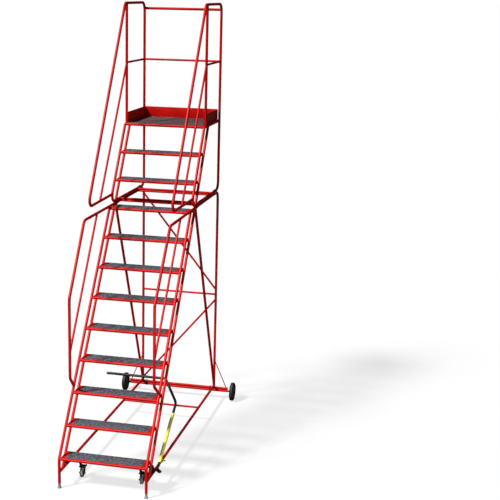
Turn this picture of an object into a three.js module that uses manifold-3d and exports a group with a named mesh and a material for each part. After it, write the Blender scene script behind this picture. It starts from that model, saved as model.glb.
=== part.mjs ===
// A mobile ladder stand in two bolted sections: welded steel tube, twelve steps with the platform,
// rear wheels, and front castors that a hand lever lowers. Millimetres, +Z up, +X to the user's right
// when climbing, +Y from the first step towards the back. The origin is on the floor, under the
// middle of the stand's box.
import * as THREE from "three";
import { mergeVertices } from "three/addons/utils/BufferGeometryUtils.js";
import Module from "manifold-3d";

// ---- Driving dimensions -------------------------------------------------------------------------
const CLEARANCE = 0.3; // between pieces that touch
const TUBE_R = 13.5; // main tube, 27 mm outside
const LIGHT_R = 10.65; // braces and secondary rails, 21.3 mm outside
const STAY_R = 5; // round bar stays at the wheels
const TUBE_SIDES = 8;

const HALF_WIDTH = 409; // from the middle plane to a side frame's tubes
const STEP_RISE = 254;
const LOWER_STEPS = 9;
const UPPER_STEPS = 2; // the platform above them is the twelfth step
const FIRST_STEP_Z = 279;
const LOWER_RUN = 0.722; // run of the stairs for each unit of rise, lower section
const UPPER_RUN = 0.668;
const STRINGER_GAP = 168; // front to back, between a side's two stringers

const REAR_Y = 2655; // rear posts
const TOP_RAIL_Z = 2332; // top rail of the lower section
const FRAME_BEND = 80; // bend radius of the long frame tubes
const GUARD_Z = 4268; // top guard rail
const GUARD_POST_Y = 2034;
const MID_RAIL_Z = 3690;
const BACK_RAIL_DROP = 58; // the guard's back rail lies this far below its side rails
const BRACE_UPPER = { left: 2270, right: 1252 }; // rear diagonals, height at each side frame
const BRACE_LOWER = { left: 176, right: 1144 };
const BRACE_LEVEL_Z = 1200;
const JOINT_CROSS_Y = { front: 1800, rear: 2400 }; // paired tubes where the two sections meet

const LOWER_RAIL_OFFSET = 752; // handrail in front of the front stringer, along Y
const LOWER_KNEE_OFFSET = 388;
const LOWER_RAIL_FRONT_Y = 275; // the handrail's upright part
const LOWER_RAIL_TOE_Z = 955; // where the upright turns back to the stringer
const LOWER_RAIL_FOOT_Z = 840; // where it meets the stringer
const UPPER_RAIL_OFFSET = { top: 793, bottom: 752 };
const UPPER_KNEE_OFFSET = 392; // at its bottom end
const UPPER_RETURN_Z = 2437; // bottom of the upper handrail
const RAIL_LEAN = 12; // both handrails lean inwards by this at their lower ends
const KNEE_BEND = 60; // of the front stringer, over its foot
const TOE_BEND = 45;
const UPPER_FOOT_BEND = 66; // turns the upper stringer onto its bottom rail
const GUARD_BEND = 60;

const TREAD_DEPTH = 172;
const TREAD_SHEET = 4;
const TREAD_LIP = 26;
const TOE_BOARD_H = 106;
const TOE_BOARD_T = 4;

const WHEEL_R = 100;
const WHEEL_W = 38;
const WHEEL_X = 615; // middle of a rear wheel
const AXLE_Y = 2668;
const AXLE_R = 10;
const BEAM_HALF = 560; // half length of the rear beam's tubes
const STAY_TOP_Z = 455;
const BASE_CROSS_Y = 1942;

const FOOT_H = 55;
const FOOT_R = 19;

const SHAFT_R = 11; // both pivots
const LEVER_PIVOT_Y = 222;
const LEVER_LIFT = 18; // pivot above the base rails' top
const CARRIAGE_PIVOT_Y = 190; // of the frame that carries both castors
const CARRIAGE_LIFT = 50;
const BRACKET_T = 8;
const CASTOR_X = 288;
const CASTOR_SWIVEL_Y = 298;
const CASTOR_TRAIL = 22;
const CASTOR_WHEEL_R = 41;
const CASTOR_WHEEL_W = 28;
const CASTOR_LIFT = 3; // castors clear the floor by this while the feet stand on it
const CASTOR_PIN_R = 6;
const FORK_T = 5;
const CAM_REACH = 36; // from the lever's pivot back to the carriage's bar that its cam pushes down

const LEVER_X = 441;
const LEVER_R = 12.5;
const LEVER_BEND = 90;
const HANDLE_BEND = 40;
const CRANK_T = 8;
const CRANK_TOE = { y: 60, z: 8 }; // from the pivot to where the lever tube leaves the crank
const LEVER_KNEE = { y: 665, z: 404 };
const HANDLE = { y: 778, z: 594, right: 305, left: -283 }; // the cross handle
const SLEEVE_R = 15.8;
const SLEEVE_FROM = 0.054; // along the straight of the lever, from the crank to the knee
const SLEEVE_TO = 0.817;
const STOP_Y = 500; // clamp on the right base rail that the lever comes to rest on
const STOP_W = 14;
const STOP_WALL = 4.5;

// ---- Sizes worked out from them -----------------------------------------------------------------
const AXLE_Z = WHEEL_R;
const BEAM_TOP_Z = AXLE_Z + 2 * TUBE_R + CLEARANCE; // upper of the rear beam's two tubes
const BASE_Z = BEAM_TOP_Z + 2 * TUBE_R + CLEARANCE; // base rails lie on the beam
const UPPER_BASE_Z = TOP_RAIL_Z + 2 * TUBE_R + CLEARANCE; // upper section stands on the lower one
const LEVER_PIVOT_Z = BASE_Z + TUBE_R + LEVER_LIFT;
const CARRIAGE_PIVOT_Z = BASE_Z + TUBE_R + CARRIAGE_LIFT;
const PRESS_BAR_Y = LEVER_PIVOT_Y + CAM_REACH;
const CASTOR_AXLE_Z = CASTOR_WHEEL_R + CASTOR_LIFT;
const FORK_CROWN_Z = CASTOR_AXLE_Z + CASTOR_WHEEL_R + 3;
const CASTOR_PLATE_Z = FORK_CROWN_Z + FORK_T + 7; // underside of the mounting plate
const INNER_HALF = HALF_WIDTH - TUBE_R - CLEARANCE; // reach of what fits between the side frames
const lowerY = (z) => LOWER_RUN * (z - FIRST_STEP_Z);
const upperY = (z) => lowerY(TOP_RAIL_Z) + UPPER_RUN * (z - TOP_RAIL_Z);
const stepZ = (i) => FIRST_STEP_Z + STEP_RISE * i;
const PLATFORM_Z = stepZ(LOWER_STEPS + UPPER_STEPS) + 8;
const PLATFORM_Y = upperY(PLATFORM_Z);
const CENTRE_Y = (AXLE_Y + WHEEL_R - FOOT_R) / 2;

// ---- Finishes -----------------------------------------------------------------------------------
const finish = (color, roughness, metalness = 0) =>
  new THREE.MeshStandardMaterial({ color, roughness, metalness });
const RED = finish(0xc4120b, 0.35);
const GRIT = finish(0x5c6672, 0.9);
const BLACK = finish(0x16150f, 0.4);
const YELLOW = finish(0xf2e25a, 0.5);
const TYRE = finish(0x1b1b1c, 0.8);
const GREY_RUBBER = finish(0x8b8e90, 0.6);

// ---- Geometry helpers ---------------------------------------------------------------------------
const wasm = await Module();
wasm.setup();

// A closed geometry as a solid that can be joined or cut.
function solid(geometry) {
  const bare = geometry.clone();
  bare.deleteAttribute("normal");
  bare.deleteAttribute("uv");
  const merged = mergeVertices(bare, 1e-4);
  const mesh = new wasm.Mesh({
    numProp: 3,
    vertProperties: merged.attributes.position.array,
    triVerts: new Uint32Array(merged.index.array),
  });
  return new wasm.Manifold(mesh);
}

function geometryOf(manifold) {
  const mesh = manifold.getMesh();
  const geometry = new THREE.BufferGeometry();
  geometry.setAttribute("position", new THREE.BufferAttribute(mesh.vertProperties, 3));
  geometry.setIndex(new THREE.BufferAttribute(mesh.triVerts, 1));
  geometry.computeVertexNormals();
  return geometry;
}

const joined = (...geometries) =>
  geometryOf(geometries.map(solid).reduce((whole, piece) => whole.add(piece)));
const cut = (geometry, ...cutters) =>
  geometryOf(cutters.map(solid).reduce((rest, cutter) => rest.subtract(cutter), solid(geometry)));

// A tube's centre line: straight runs with an arc at each inner corner. Its stations lie only where
// it turns, so a long straight run costs no extra faces.
class BentLine extends THREE.Curve {
  constructor(corners, bend, arcSteps = 4) {
    super();
    const last = corners.length - 1;
    const way = (i) => corners[i + 1].clone().sub(corners[i]).normalize();
    this.stations = [{ at: corners[0], along: way(0) }];
    for (let i = 1; i < last; i++) {
      const [before, after] = [way(i - 1), way(i)];
      const turn = before.angleTo(after);
      const radius = Array.isArray(bend) ? bend[i - 1] : bend;
      const start = corners[i].clone().addScaledVector(before, -radius * Math.tan(turn / 2));
      const inward = after.clone().addScaledVector(before, -after.dot(before)).normalize();
      for (let k = 0; k <= arcSteps; k++) {
        const angle = (turn * k) / arcSteps;
        const at = start
          .clone()
          .addScaledVector(before, radius * Math.sin(angle))
          .addScaledVector(inward, radius * (1 - Math.cos(angle)));
        const along = before.clone().multiplyScalar(Math.cos(angle));
        this.stations.push({ at, along: along.addScaledVector(inward, Math.sin(angle)) });
      }
    }
    this.stations.push({ at: corners[last], along: way(last - 1) });
  }
  get steps() {
    return this.stations.length - 1;
  }
  station(u) {
    return this.stations[Math.round(u * this.steps)];
  }
  getPointAt(u, target = new THREE.Vector3()) {
    return target.copy(this.station(u).at);
  }
  getTangentAt(u, target = new THREE.Vector3()) {
    return target.copy(this.station(u).along);
  }
}

// A regular polygon whose flats touch a circle of the given radius, with flats facing the axes.
function roundOutline(radius, Outline = THREE.Shape) {
  const corner = radius / Math.cos(Math.PI / TUBE_SIDES);
  const points = Array.from({ length: TUBE_SIDES }, (_, i) => {
    const angle = ((i + 0.5) * 2 * Math.PI) / TUBE_SIDES;
    return new THREE.Vector2(corner * Math.cos(angle), corner * Math.sin(angle));
  });
  return new Outline(points);
}

// A round tube through the corners, solid unless it has a bore.
function tube(corners, radius = TUBE_R, bend = FRAME_BEND, bore = 0) {
  const path = new BentLine(corners, bend);
  const outline = roundOutline(radius);
  if (bore) outline.holes.push(roundOutline(bore, THREE.Path));
  return new THREE.ExtrudeGeometry(outline, { steps: path.steps, extrudePath: path });
}
// The space that such a tube takes from its neighbours.
const room = (corners, radius, bend) => tube(corners, (radius ?? TUBE_R) + CLEARANCE, bend);

const vec = (x, y, z) => new THREE.Vector3(x, y, z);
const side = (y, z) => vec(0, y, z); // a point in a side frame's own plane
const box = (x0, x1, y0, y1, z0, z1) =>
  new THREE.BoxGeometry(x1 - x0, y1 - y0, z1 - z0).translate(
    (x0 + x1) / 2,
    (y0 + y1) / 2,
    (z0 + z1) / 2,
  );
const crossTube = (y, z, radius, half = INNER_HALF) =>
  tube([vec(-half, y, z), vec(half, y, z)], radius);

// An outline in the YZ plane, given as [y, z] points, extruded across X about the middle plane.
function acrossX(points, width) {
  const outline = new THREE.Shape(points.map(([y, z]) => new THREE.Vector2(y, z)));
  const geometry = new THREE.ExtrudeGeometry(outline, { depth: width, bevelEnabled: false });
  return geometry.translate(0, 0, -width / 2).applyMatrix4(
    new THREE.Matrix4().makeBasis(vec(0, 1, 0), vec(0, 0, 1), vec(1, 0, 0)),
  );
}

// A lathe about X, from [radius, x] points that end on the axis or close on themselves.
const latheX = (points, segments) =>
  new THREE.LatheGeometry(
    points.map(([radius, x]) => new THREE.Vector2(radius, x)),
    segments,
  ).rotateZ(-Math.PI / 2);

// ---- Scene helpers ------------------------------------------------------------------------------
const stand = new THREE.Group();
stand.position.y = -CENTRE_Y;

function add(name, geometry, material, parent = stand) {
  const mesh = new THREE.Mesh(geometry, material);
  mesh.name = name;
  parent.add(mesh);
  return mesh;
}

// The same piece in both side frames, or one made for the direction in which it leans.
const sideFrames = { left: new THREE.Group(), right: new THREE.Group() };
sideFrames.left.position.x = -HALF_WIDTH;
sideFrames.right.position.x = HALF_WIDTH;
stand.add(sideFrames.left, sideFrames.right);
function addBothSides(name, geometry, material = RED) {
  for (const [which, frame] of Object.entries(sideFrames))
    add(`${name}_${which}`, geometry, material, frame);
}
function addLeaning(name, make) {
  for (const [which, frame] of Object.entries(sideFrames))
    add(`${name}_${which}`, make(-Math.sign(frame.position.x) * RAIL_LEAN), RED, frame);
}

// ---- Lower section: side frames -----------------------------------------------------------------
const baseRail = [side(TUBE_R + CLEARANCE, BASE_Z), side(REAR_Y + TUBE_R, BASE_Z)];
const frontStringer = [side(0, FOOT_H), side(0, FIRST_STEP_Z), side(lowerY(TOP_RAIL_Z), TOP_RAIL_Z)];
const backStringer = [
  side(lowerY(BASE_Z) + STRINGER_GAP, BASE_Z),
  side(lowerY(TOP_RAIL_Z) + STRINGER_GAP, TOP_RAIL_Z),
];
const LOWER_JOINT_Y = lowerY(TOP_RAIL_Z) - LOWER_RAIL_OFFSET + 160; // handrail ends, top rail starts
const topRail = [
  side(LOWER_JOINT_Y, TOP_RAIL_Z),
  side(REAR_Y, TOP_RAIL_Z),
  side(REAR_Y, BASE_Z + TUBE_R + CLEARANCE),
];

addBothSides("base_rail", tube(baseRail));
addBothSides(
  "lower_front_stringer",
  cut(tube(frontStringer, TUBE_R, KNEE_BEND), room(topRail)),
);
addBothSides("lower_back_stringer", cut(tube(backStringer), room(topRail), room(baseRail)));
addBothSides("lower_rear_post", tube(topRail));

// The knee rail is welded between the handrail's upright and the top rail.
function lowerHandrail(lean) {
  const along = (offset) => FIRST_STEP_Z + (LOWER_RAIL_FRONT_Y + offset) / LOWER_RUN;
  const rail = [
    side(lowerY(LOWER_RAIL_FOOT_Z), LOWER_RAIL_FOOT_Z),
    vec(lean, LOWER_RAIL_FRONT_Y, LOWER_RAIL_TOE_Z),
    vec(lean, LOWER_RAIL_FRONT_Y, along(LOWER_RAIL_OFFSET)),
    side(lowerY(TOP_RAIL_Z) - LOWER_RAIL_OFFSET, TOP_RAIL_Z),
    side(LOWER_JOINT_Y - CLEARANCE, TOP_RAIL_Z),
  ];
  const knee = [
    vec(lean, LOWER_RAIL_FRONT_Y, along(LOWER_KNEE_OFFSET)),
    side(lowerY(TOP_RAIL_Z) - LOWER_KNEE_OFFSET, TOP_RAIL_Z),
  ];
  const outer = tube(rail, TUBE_R, [TOE_BEND, FRAME_BEND, FRAME_BEND]);
  return joined(
    cut(outer, room(frontStringer, TUBE_R, KNEE_BEND)),
    cut(tube(knee, LIGHT_R), room(topRail)),
  );
}
addLeaning("lower_handrail", lowerHandrail);
const sideBrace = [
  side(lowerY(TOP_RAIL_Z) + STRINGER_GAP + 12, TOP_RAIL_Z),
  side(REAR_Y - 6, BASE_Z + 14),
];
addBothSides(
  "side_brace",
  cut(tube(sideBrace), room(topRail), room(backStringer), room(baseRail)),
);

// ---- Lower section: cross members ---------------------------------------------------------------
const rearPost = (x) => topRail.map((corner) => corner.clone().setX(x));
function rearDiagonal(z) {
  const line = [vec(-HALF_WIDTH, REAR_Y, z.left), vec(HALF_WIDTH, REAR_Y, z.right)];
  const [y0, y1] = [REAR_Y - 2 * TUBE_R, REAR_Y + 2 * TUBE_R];
  const beyond = box(INNER_HALF, HALF_WIDTH + TUBE_R, y0, y1, 0, TOP_RAIL_Z);
  return cut(tube(line, LIGHT_R), beyond, beyond.clone().translate(-INNER_HALF - HALF_WIDTH - TUBE_R, 0, 0));
}
add("rear_brace_upper", rearDiagonal(BRACE_UPPER), RED);
add("rear_brace_middle", crossTube(REAR_Y, BRACE_LEVEL_Z, LIGHT_R), RED);
add("rear_brace_lower", rearDiagonal(BRACE_LOWER), RED);

const CROSS_PAIR_DROP = TUBE_R - LIGHT_R;
for (const [place, y] of Object.entries(JOINT_CROSS_Y)) {
  add(`${place}_joint_cross_lower`, crossTube(y, TOP_RAIL_Z + CROSS_PAIR_DROP, LIGHT_R), RED);
  add(`${place}_joint_cross_upper`, crossTube(y, UPPER_BASE_Z - CROSS_PAIR_DROP, LIGHT_R), RED);
}
add("base_cross_tube", crossTube(BASE_CROSS_Y, BASE_Z, LIGHT_R), RED);

// Two tubes welded one on the other carry the base rails and the wheels; round bar stays brace them.
function rearBeam() {
  const spindle = WHEEL_X + WHEEL_W / 2 + 12;
  const pieces = [
    tube([vec(-BEAM_HALF, AXLE_Y, AXLE_Z), vec(BEAM_HALF, AXLE_Y, AXLE_Z)]),
    tube([vec(-BEAM_HALF, AXLE_Y, BEAM_TOP_Z), vec(BEAM_HALF, AXLE_Y, BEAM_TOP_Z)]),
    box(-BEAM_HALF, BEAM_HALF, AXLE_Y - 2, AXLE_Y + 2, AXLE_Z, BEAM_TOP_Z),
    tube([vec(-spindle, AXLE_Y, AXLE_Z), vec(spindle, AXLE_Y, AXLE_Z)], AXLE_R),
  ];
  for (const x of [-1, 1]) {
    const post = vec(x * HALF_WIDTH, REAR_Y, STAY_TOP_Z);
    const stay = tube([post, vec(x * (BEAM_HALF - 12), AXLE_Y, BEAM_TOP_Z)], STAY_R);
    const washer = tube([vec(x * (spindle - 6), AXLE_Y, AXLE_Z), vec(x * spindle, AXLE_Y, AXLE_Z)], 18);
    pieces.push(cut(stay, room(rearPost(x * HALF_WIDTH))), washer);
  }
  return joined(...pieces);
}
add("rear_beam", rearBeam(), RED);

// ---- Steps --------------------------------------------------------------------------------------
// A step's nose is a tube; its sheet runs level from the nose's top to a lip turned down behind.
function stepOutline() {
  const top = TUBE_R - 1;
  const nose = Array.from({ length: 8 }, (_, i) => {
    const angle = Math.PI * (0.4 + (i * 1.5) / 7);
    return [TUBE_R * Math.cos(angle), TUBE_R * Math.sin(angle)];
  });
  return [
    ...nose,
    [TUBE_R * 0.7, top - TREAD_SHEET],
    [TREAD_DEPTH - TREAD_SHEET, top - TREAD_SHEET],
    [TREAD_DEPTH - TREAD_SHEET, top - TREAD_LIP],
    [TREAD_DEPTH, top - TREAD_LIP],
    [TREAD_DEPTH, top],
  ];
}
const stepGeometry = acrossX(stepOutline(), 2 * INNER_HALF);
for (let i = 0; i < LOWER_STEPS + UPPER_STEPS; i++) {
  const step = add(`step_${String(i + 1).padStart(2, "0")}`, stepGeometry, GRIT);
  const z = stepZ(i);
  step.position.set(0, i < LOWER_STEPS ? lowerY(z) : upperY(z), z);
}

// ---- Upper section: side frames -----------------------------------------------------------------
const UPPER_JOINT_Y = lowerY(TOP_RAIL_Z) + 260; // stringer's foot ends, bottom rail starts
const GUARD_JOINT_Y = REAR_Y - 160; // rear post's top ends, handrail starts
const upperStringer = [
  side(UPPER_JOINT_Y - CLEARANCE, UPPER_BASE_Z),
  side(upperY(UPPER_BASE_Z), UPPER_BASE_Z),
  side(PLATFORM_Y, PLATFORM_Z),
];
const bottomRail = [
  side(UPPER_JOINT_Y, UPPER_BASE_Z),
  side(REAR_Y, UPPER_BASE_Z),
  side(REAR_Y, GUARD_Z),
  side(GUARD_JOINT_Y, GUARD_Z),
];
const platformBearer = [
  side(PLATFORM_Y - TUBE_R, PLATFORM_Z),
  side(REAR_Y - TUBE_R - CLEARANCE, PLATFORM_Z),
];
const upperBackStringer = [
  side(upperY(UPPER_BASE_Z) + STRINGER_GAP, UPPER_BASE_Z),
  side(PLATFORM_Y + STRINGER_GAP, PLATFORM_Z),
];
const guardPost = [
  side(GUARD_POST_Y, PLATFORM_Z + TUBE_R + CLEARANCE),
  side(GUARD_POST_Y, GUARD_Z - TUBE_R - CLEARANCE),
];
const midRail = [side(GUARD_POST_Y, MID_RAIL_Z), side(REAR_Y - TUBE_R - CLEARANCE, MID_RAIL_Z)];

const platformFrontRoom = crossTube(PLATFORM_Y, PLATFORM_Z, TUBE_R + CLEARANCE, 2 * TUBE_R);
const upperStringerRoom = room(upperStringer, TUBE_R, UPPER_FOOT_BEND);
const bearerRoom = room(platformBearer);
addBothSides(
  "upper_front_stringer",
  cut(tube(upperStringer, TUBE_R, UPPER_FOOT_BEND), bearerRoom, platformFrontRoom),
);
addBothSides(
  "upper_back_stringer",
  cut(tube(upperBackStringer), room(bottomRail), bearerRoom, upperStringerRoom),
);
addBothSides("upper_rear_post", tube(bottomRail));

function upperHandrail(lean) {
  const rail = [
    side(GUARD_JOINT_Y - CLEARANCE, GUARD_Z),
    side(upperY(GUARD_Z) - UPPER_RAIL_OFFSET.top, GUARD_Z),
    vec(lean, upperY(UPPER_RETURN_Z) - UPPER_RAIL_OFFSET.bottom, UPPER_RETURN_Z),
    side(upperY(UPPER_RETURN_Z), UPPER_RETURN_Z),
  ];
  const knee = [
    side(GUARD_POST_Y, MID_RAIL_Z),
    vec(lean / 2, upperY(UPPER_RETURN_Z) - UPPER_KNEE_OFFSET, UPPER_RETURN_Z),
  ];
  return joined(
    cut(tube(rail, TUBE_R, GUARD_BEND), upperStringerRoom),
    cut(tube(knee, LIGHT_R), room(guardPost)),
  );
}
addLeaning("upper_handrail", upperHandrail);
addBothSides("guard_post", joined(tube(guardPost), tube(midRail, LIGHT_R)));

// ---- Upper section: platform and guard ----------------------------------------------------------
// The front tube, a bearer in each side frame and the deck sheet between them are welded together.
function platformFrame() {
  const deckTop = PLATFORM_Z + TUBE_R - 1;
  const back = REAR_Y - TUBE_R - CLEARANCE;
  const deck = box(-HALF_WIDTH, HALF_WIDTH, PLATFORM_Y, back, deckTop - TREAD_SHEET, deckTop);
  const backLip = box(-INNER_HALF, INNER_HALF, back - TREAD_SHEET, back, deckTop - TREAD_LIP, deckTop);
  const front = crossTube(PLATFORM_Y, PLATFORM_Z, TUBE_R, HALF_WIDTH);
  const bearers = [-HALF_WIDTH, HALF_WIDTH].map((x) => tube(platformBearer).translate(x, 0, 0));
  return joined(front, deck, backLip, ...bearers);
}
add("platform_deck", platformFrame(), GRIT);

// Toe boards round three sides of the platform, open towards the steps.
function toeBoards() {
  const [front, back] = [GUARD_POST_Y - TUBE_R, REAR_Y - TUBE_R - CLEARANCE];
  const inside = INNER_HALF - TOE_BOARD_T;
  const plan = new THREE.Shape(
    [
      [-INNER_HALF, front],
      [-inside, front],
      [-inside, back - TOE_BOARD_T],
      [inside, back - TOE_BOARD_T],
      [inside, front],
      [INNER_HALF, front],
      [INNER_HALF, back],
      [-INNER_HALF, back],
    ].map(([x, y]) => new THREE.Vector2(x, y)),
  );
  const boards = new THREE.ExtrudeGeometry(plan, { depth: TOE_BOARD_H, bevelEnabled: false });
  return boards.translate(0, 0, PLATFORM_Z + TUBE_R + CLEARANCE);
}
add("toe_boards", toeBoards(), RED);
add("guard_back_rail", crossTube(REAR_Y, GUARD_Z - BACK_RAIL_DROP, TUBE_R), RED);
add("guard_back_mid_rail", crossTube(REAR_Y, MID_RAIL_Z, LIGHT_R), RED);

// ---- Feet and rear wheels -----------------------------------------------------------------------
const footGeometry = new THREE.LatheGeometry(
  [[0, 0], [FOOT_R, 0], [FOOT_R, 7], [12, 24], [9, 30], [9, FOOT_H - CLEARANCE], [0, FOOT_H - CLEARANCE]].map(
    ([radius, z]) => new THREE.Vector2(radius, z),
  ),
  12,
).rotateX(Math.PI / 2);
addBothSides("foot", footGeometry, GREY_RUBBER);

// The radius of a turned bore that a faceted round bar of the given radius spins in.
const boreFor = (radius, segments) =>
  (radius / Math.cos(Math.PI / TUBE_SIDES) + CLEARANCE) / Math.cos(Math.PI / segments);

function wheel(radius, width, boltRadius, hubRadius, segments) {
  const [half, bore] = [width / 2, boreFor(boltRadius, segments)];
  const rim = hubRadius + (radius - hubRadius) * 0.62;
  const web = half * 0.5;
  return latheX(
    [
      [bore, -half],
      [hubRadius, -half],
      [hubRadius + 2, -web],
      [rim - 3, -web],
      [rim, -half],
      [radius - 6, -half],
      [radius, -half + 6],
      [radius, half - 6],
      [radius - 6, half],
      [rim, half],
      [rim - 3, web],
      [hubRadius + 2, web],
      [hubRadius, half],
      [bore, half],
      [bore, -half],
    ],
    segments,
  );
}
const rearWheel = wheel(WHEEL_R, WHEEL_W, AXLE_R, 24, 20);
for (const [which, x] of [["left", -WHEEL_X], ["right", WHEEL_X]])
  add(`rear_wheel_${which}`, rearWheel, TYRE).position.set(x, AXLE_Y, AXLE_Z);

// ---- Castors ------------------------------------------------------------------------------------
// A U-shaped fork under a swivel disc; the wheel trails in front of the swivel's axis.
function castorFork() {
  const inside = CASTOR_WHEEL_W / 2 + 2;
  const leg = acrossX(
    [
      [18, FORK_CROWN_Z + FORK_T],
      [18, FORK_CROWN_Z - 6],
      [10 - CASTOR_TRAIL, CASTOR_AXLE_Z - 11],
      [-10 - CASTOR_TRAIL, CASTOR_AXLE_Z - 11],
      [-14 - CASTOR_TRAIL, CASTOR_AXLE_Z + 14],
      [-18, FORK_CROWN_Z + FORK_T],
    ],
    FORK_T,
  );
  const reach = inside + FORK_T;
  const pin = reach + 4;
  return joined(
    leg.clone().translate(-inside - FORK_T / 2, 0, 0),
    leg.clone().translate(inside + FORK_T / 2, 0, 0),
    box(-reach, reach, -18, 18, FORK_CROWN_Z, FORK_CROWN_Z + FORK_T),
    tube([vec(0, 0, FORK_CROWN_Z + FORK_T - 1), vec(0, 0, CASTOR_PLATE_Z - CLEARANCE)], 20),
    crossTube(-CASTOR_TRAIL, CASTOR_AXLE_Z, CASTOR_PIN_R, pin),
  );
}
const forkGeometry = castorFork();
const castorWheel = wheel(CASTOR_WHEEL_R, CASTOR_WHEEL_W, CASTOR_PIN_R, 12, 16);
for (const [which, x] of [["left", -CASTOR_X], ["right", CASTOR_X]]) {
  const castor = new THREE.Group();
  castor.position.set(x, CASTOR_SWIVEL_Y, 0);
  stand.add(castor);
  add(`castor_fork_${which}`, forkGeometry, BLACK, castor);
  const turning = add(`castor_wheel_${which}`, castorWheel, TYRE, castor);
  turning.position.set(0, -CASTOR_TRAIL, CASTOR_AXLE_Z);
}

// The carriage turns on its tube: an arm to each castor plate, and a short bar for the lever's cam.
const PRESS_BAR_Z = CASTOR_PLATE_Z + 20;
function castorCarriage() {
  const half = HALF_WIDTH + BRACKET_T / 2 + 2;
  const [y, z] = [CARRIAGE_PIVOT_Y, CARRIAGE_PIVOT_Z];
  const barZ = PRESS_BAR_Z;
  const pieces = [
    tube([vec(-half, y, z), vec(half, y, z)], SHAFT_R),
    tube([vec(CASTOR_X, PRESS_BAR_Y, barZ), vec(INNER_HALF - 4, PRESS_BAR_Y, barZ)], LIGHT_R),
  ];
  const arm = acrossX(
    [
      [y - 9, z - 4],
      [PRESS_BAR_Y - 22, CASTOR_PLATE_Z],
      [CASTOR_SWIVEL_Y + 20, CASTOR_PLATE_Z],
      [CASTOR_SWIVEL_Y + 20, CASTOR_PLATE_Z + 8],
      [PRESS_BAR_Y + 12, CASTOR_PLATE_Z + 28],
      [y + 6, z + 8],
    ],
    8,
  );
  for (const x of [-CASTOR_X, CASTOR_X]) {
    const [y0, y1] = [CASTOR_SWIVEL_Y - 34, CASTOR_SWIVEL_Y + 34];
    pieces.push(arm.clone().translate(x, 0, 0));
    pieces.push(box(x - 32, x + 32, y0, y1, CASTOR_PLATE_Z, CASTOR_PLATE_Z + 6));
  }
  return joined(...pieces);
}
add("castor_carriage", castorCarriage(), BLACK);

// Plates on the base rails that hold the pivots: the carriage's on both sides, the lever's on the right.
const carriagePivot = { y: CARRIAGE_PIVOT_Y, z: CARRIAGE_PIVOT_Z };
const leverPivot = { y: LEVER_PIVOT_Y, z: LEVER_PIVOT_Z };
function pivotBracket(...pivots) {
  const low = BASE_Z + TUBE_R + CLEARANCE;
  const crest = SHAFT_R + 6;
  const [first, last] = [pivots[0], pivots[pivots.length - 1]];
  const plate = acrossX(
    [
      [first.y - 24, low],
      [last.y + 24, low],
      ...pivots.toReversed().map(({ y, z }) => [y + 16, z + crest]),
      [first.y - 16, first.z + crest],
    ],
    BRACKET_T,
  );
  const bore = SHAFT_R / Math.cos(Math.PI / TUBE_SIDES) + CLEARANCE;
  return cut(plate, ...pivots.map(({ y, z }) => tube([vec(-30, y, z), vec(30, y, z)], bore)));
}
add("pivot_bracket_left", pivotBracket(carriagePivot), BLACK, sideFrames.left);
add("pivot_bracket_right", pivotBracket(carriagePivot, leverPivot), BLACK, sideFrames.right);

// ---- Hand lever ---------------------------------------------------------------------------------
const fromPivot = ({ y, z }, x = LEVER_X) => vec(x, leverPivot.y + y, leverPivot.z + z);
const leverStraight = [fromPivot(CRANK_TOE), fromPivot(LEVER_KNEE)];
const alongLever = (t) => leverStraight[0].clone().lerp(leverStraight[1], t);

// A plate on the pivot's outer end, the bent tube it carries, and the cam on the pivot's inner end.
function handLever() {
  const pivot = leverPivot;
  const plate = acrossX(
    [
      [pivot.y - 20, pivot.z - 4],
      [pivot.y + 4, pivot.z - 22],
      [pivot.y + 92, pivot.z - 74],
      [pivot.y + 108, pivot.z - 52],
      [pivot.y + 46, pivot.z - 4],
      [pivot.y + CRANK_TOE.y + 18, pivot.z + CRANK_TOE.z - 6],
      [pivot.y + CRANK_TOE.y + 8, pivot.z + CRANK_TOE.z + 20],
      [pivot.y - 8, pivot.z + 20],
    ],
    CRANK_T,
  ).translate(LEVER_X, 0, 0);
  const boss = crossTube(pivot.y + 96, pivot.z - 60, 14, 13).translate(LEVER_X + 1, 0, 0);
  const camX = HALF_WIDTH - TUBE_R - 8;
  const pivotPin = tube([vec(camX - 5, pivot.y, pivot.z), vec(LEVER_X + 8, pivot.y, pivot.z)], SHAFT_R);
  const nose = PRESS_BAR_Z + LIGHT_R + 4;
  const cam = acrossX(
    [
      [pivot.y - 12, pivot.z - 12],
      [pivot.y + CAM_REACH - 12, nose],
      [PRESS_BAR_Y + 2, nose],
      [PRESS_BAR_Y + 2, nose + 14],
      [pivot.y + 8, pivot.z + 14],
      [pivot.y - 12, pivot.z + 12],
    ],
    8,
  ).translate(camX, 0, 0);
  const bar = [fromPivot(HANDLE, HANDLE.right), fromPivot(HANDLE, HANDLE.left)];
  const shank = tube([...leverStraight, ...bar], LEVER_R, [LEVER_BEND, HANDLE_BEND]);
  const peg = alongLever(0.96);
  const pegBar = tube([peg, peg.clone().setX(LEVER_X + LEVER_R + 22)], 4.5);
  return joined(plate, boss, pivotPin, cam, shank, pegBar);
}
add("hand_lever", handLever(), BLACK);
const sleeveRun = [alongLever(SLEEVE_FROM), alongLever(SLEEVE_TO)];
add("lever_sleeve", tube(sleeveRun, SLEEVE_R, 0, LEVER_R + CLEARANCE), YELLOW);

function leverStop() {
  const [y0, y1] = [STOP_Y - STOP_W / 2, STOP_Y + STOP_W / 2];
  const rail = [side(y0 - TUBE_R, BASE_Z), side(y1 + TUBE_R, BASE_Z)];
  const ring = tube([side(y0, BASE_Z), side(y1, BASE_Z)], TUBE_R + STOP_WALL);
  const tabs = box(-26, 38, y0, y1, BASE_Z + 1, BASE_Z + 7);
  return cut(joined(ring, tabs), room(rail));
}
add("lever_stop", leverStop(), YELLOW, sideFrames.right);

export default stand;
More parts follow.
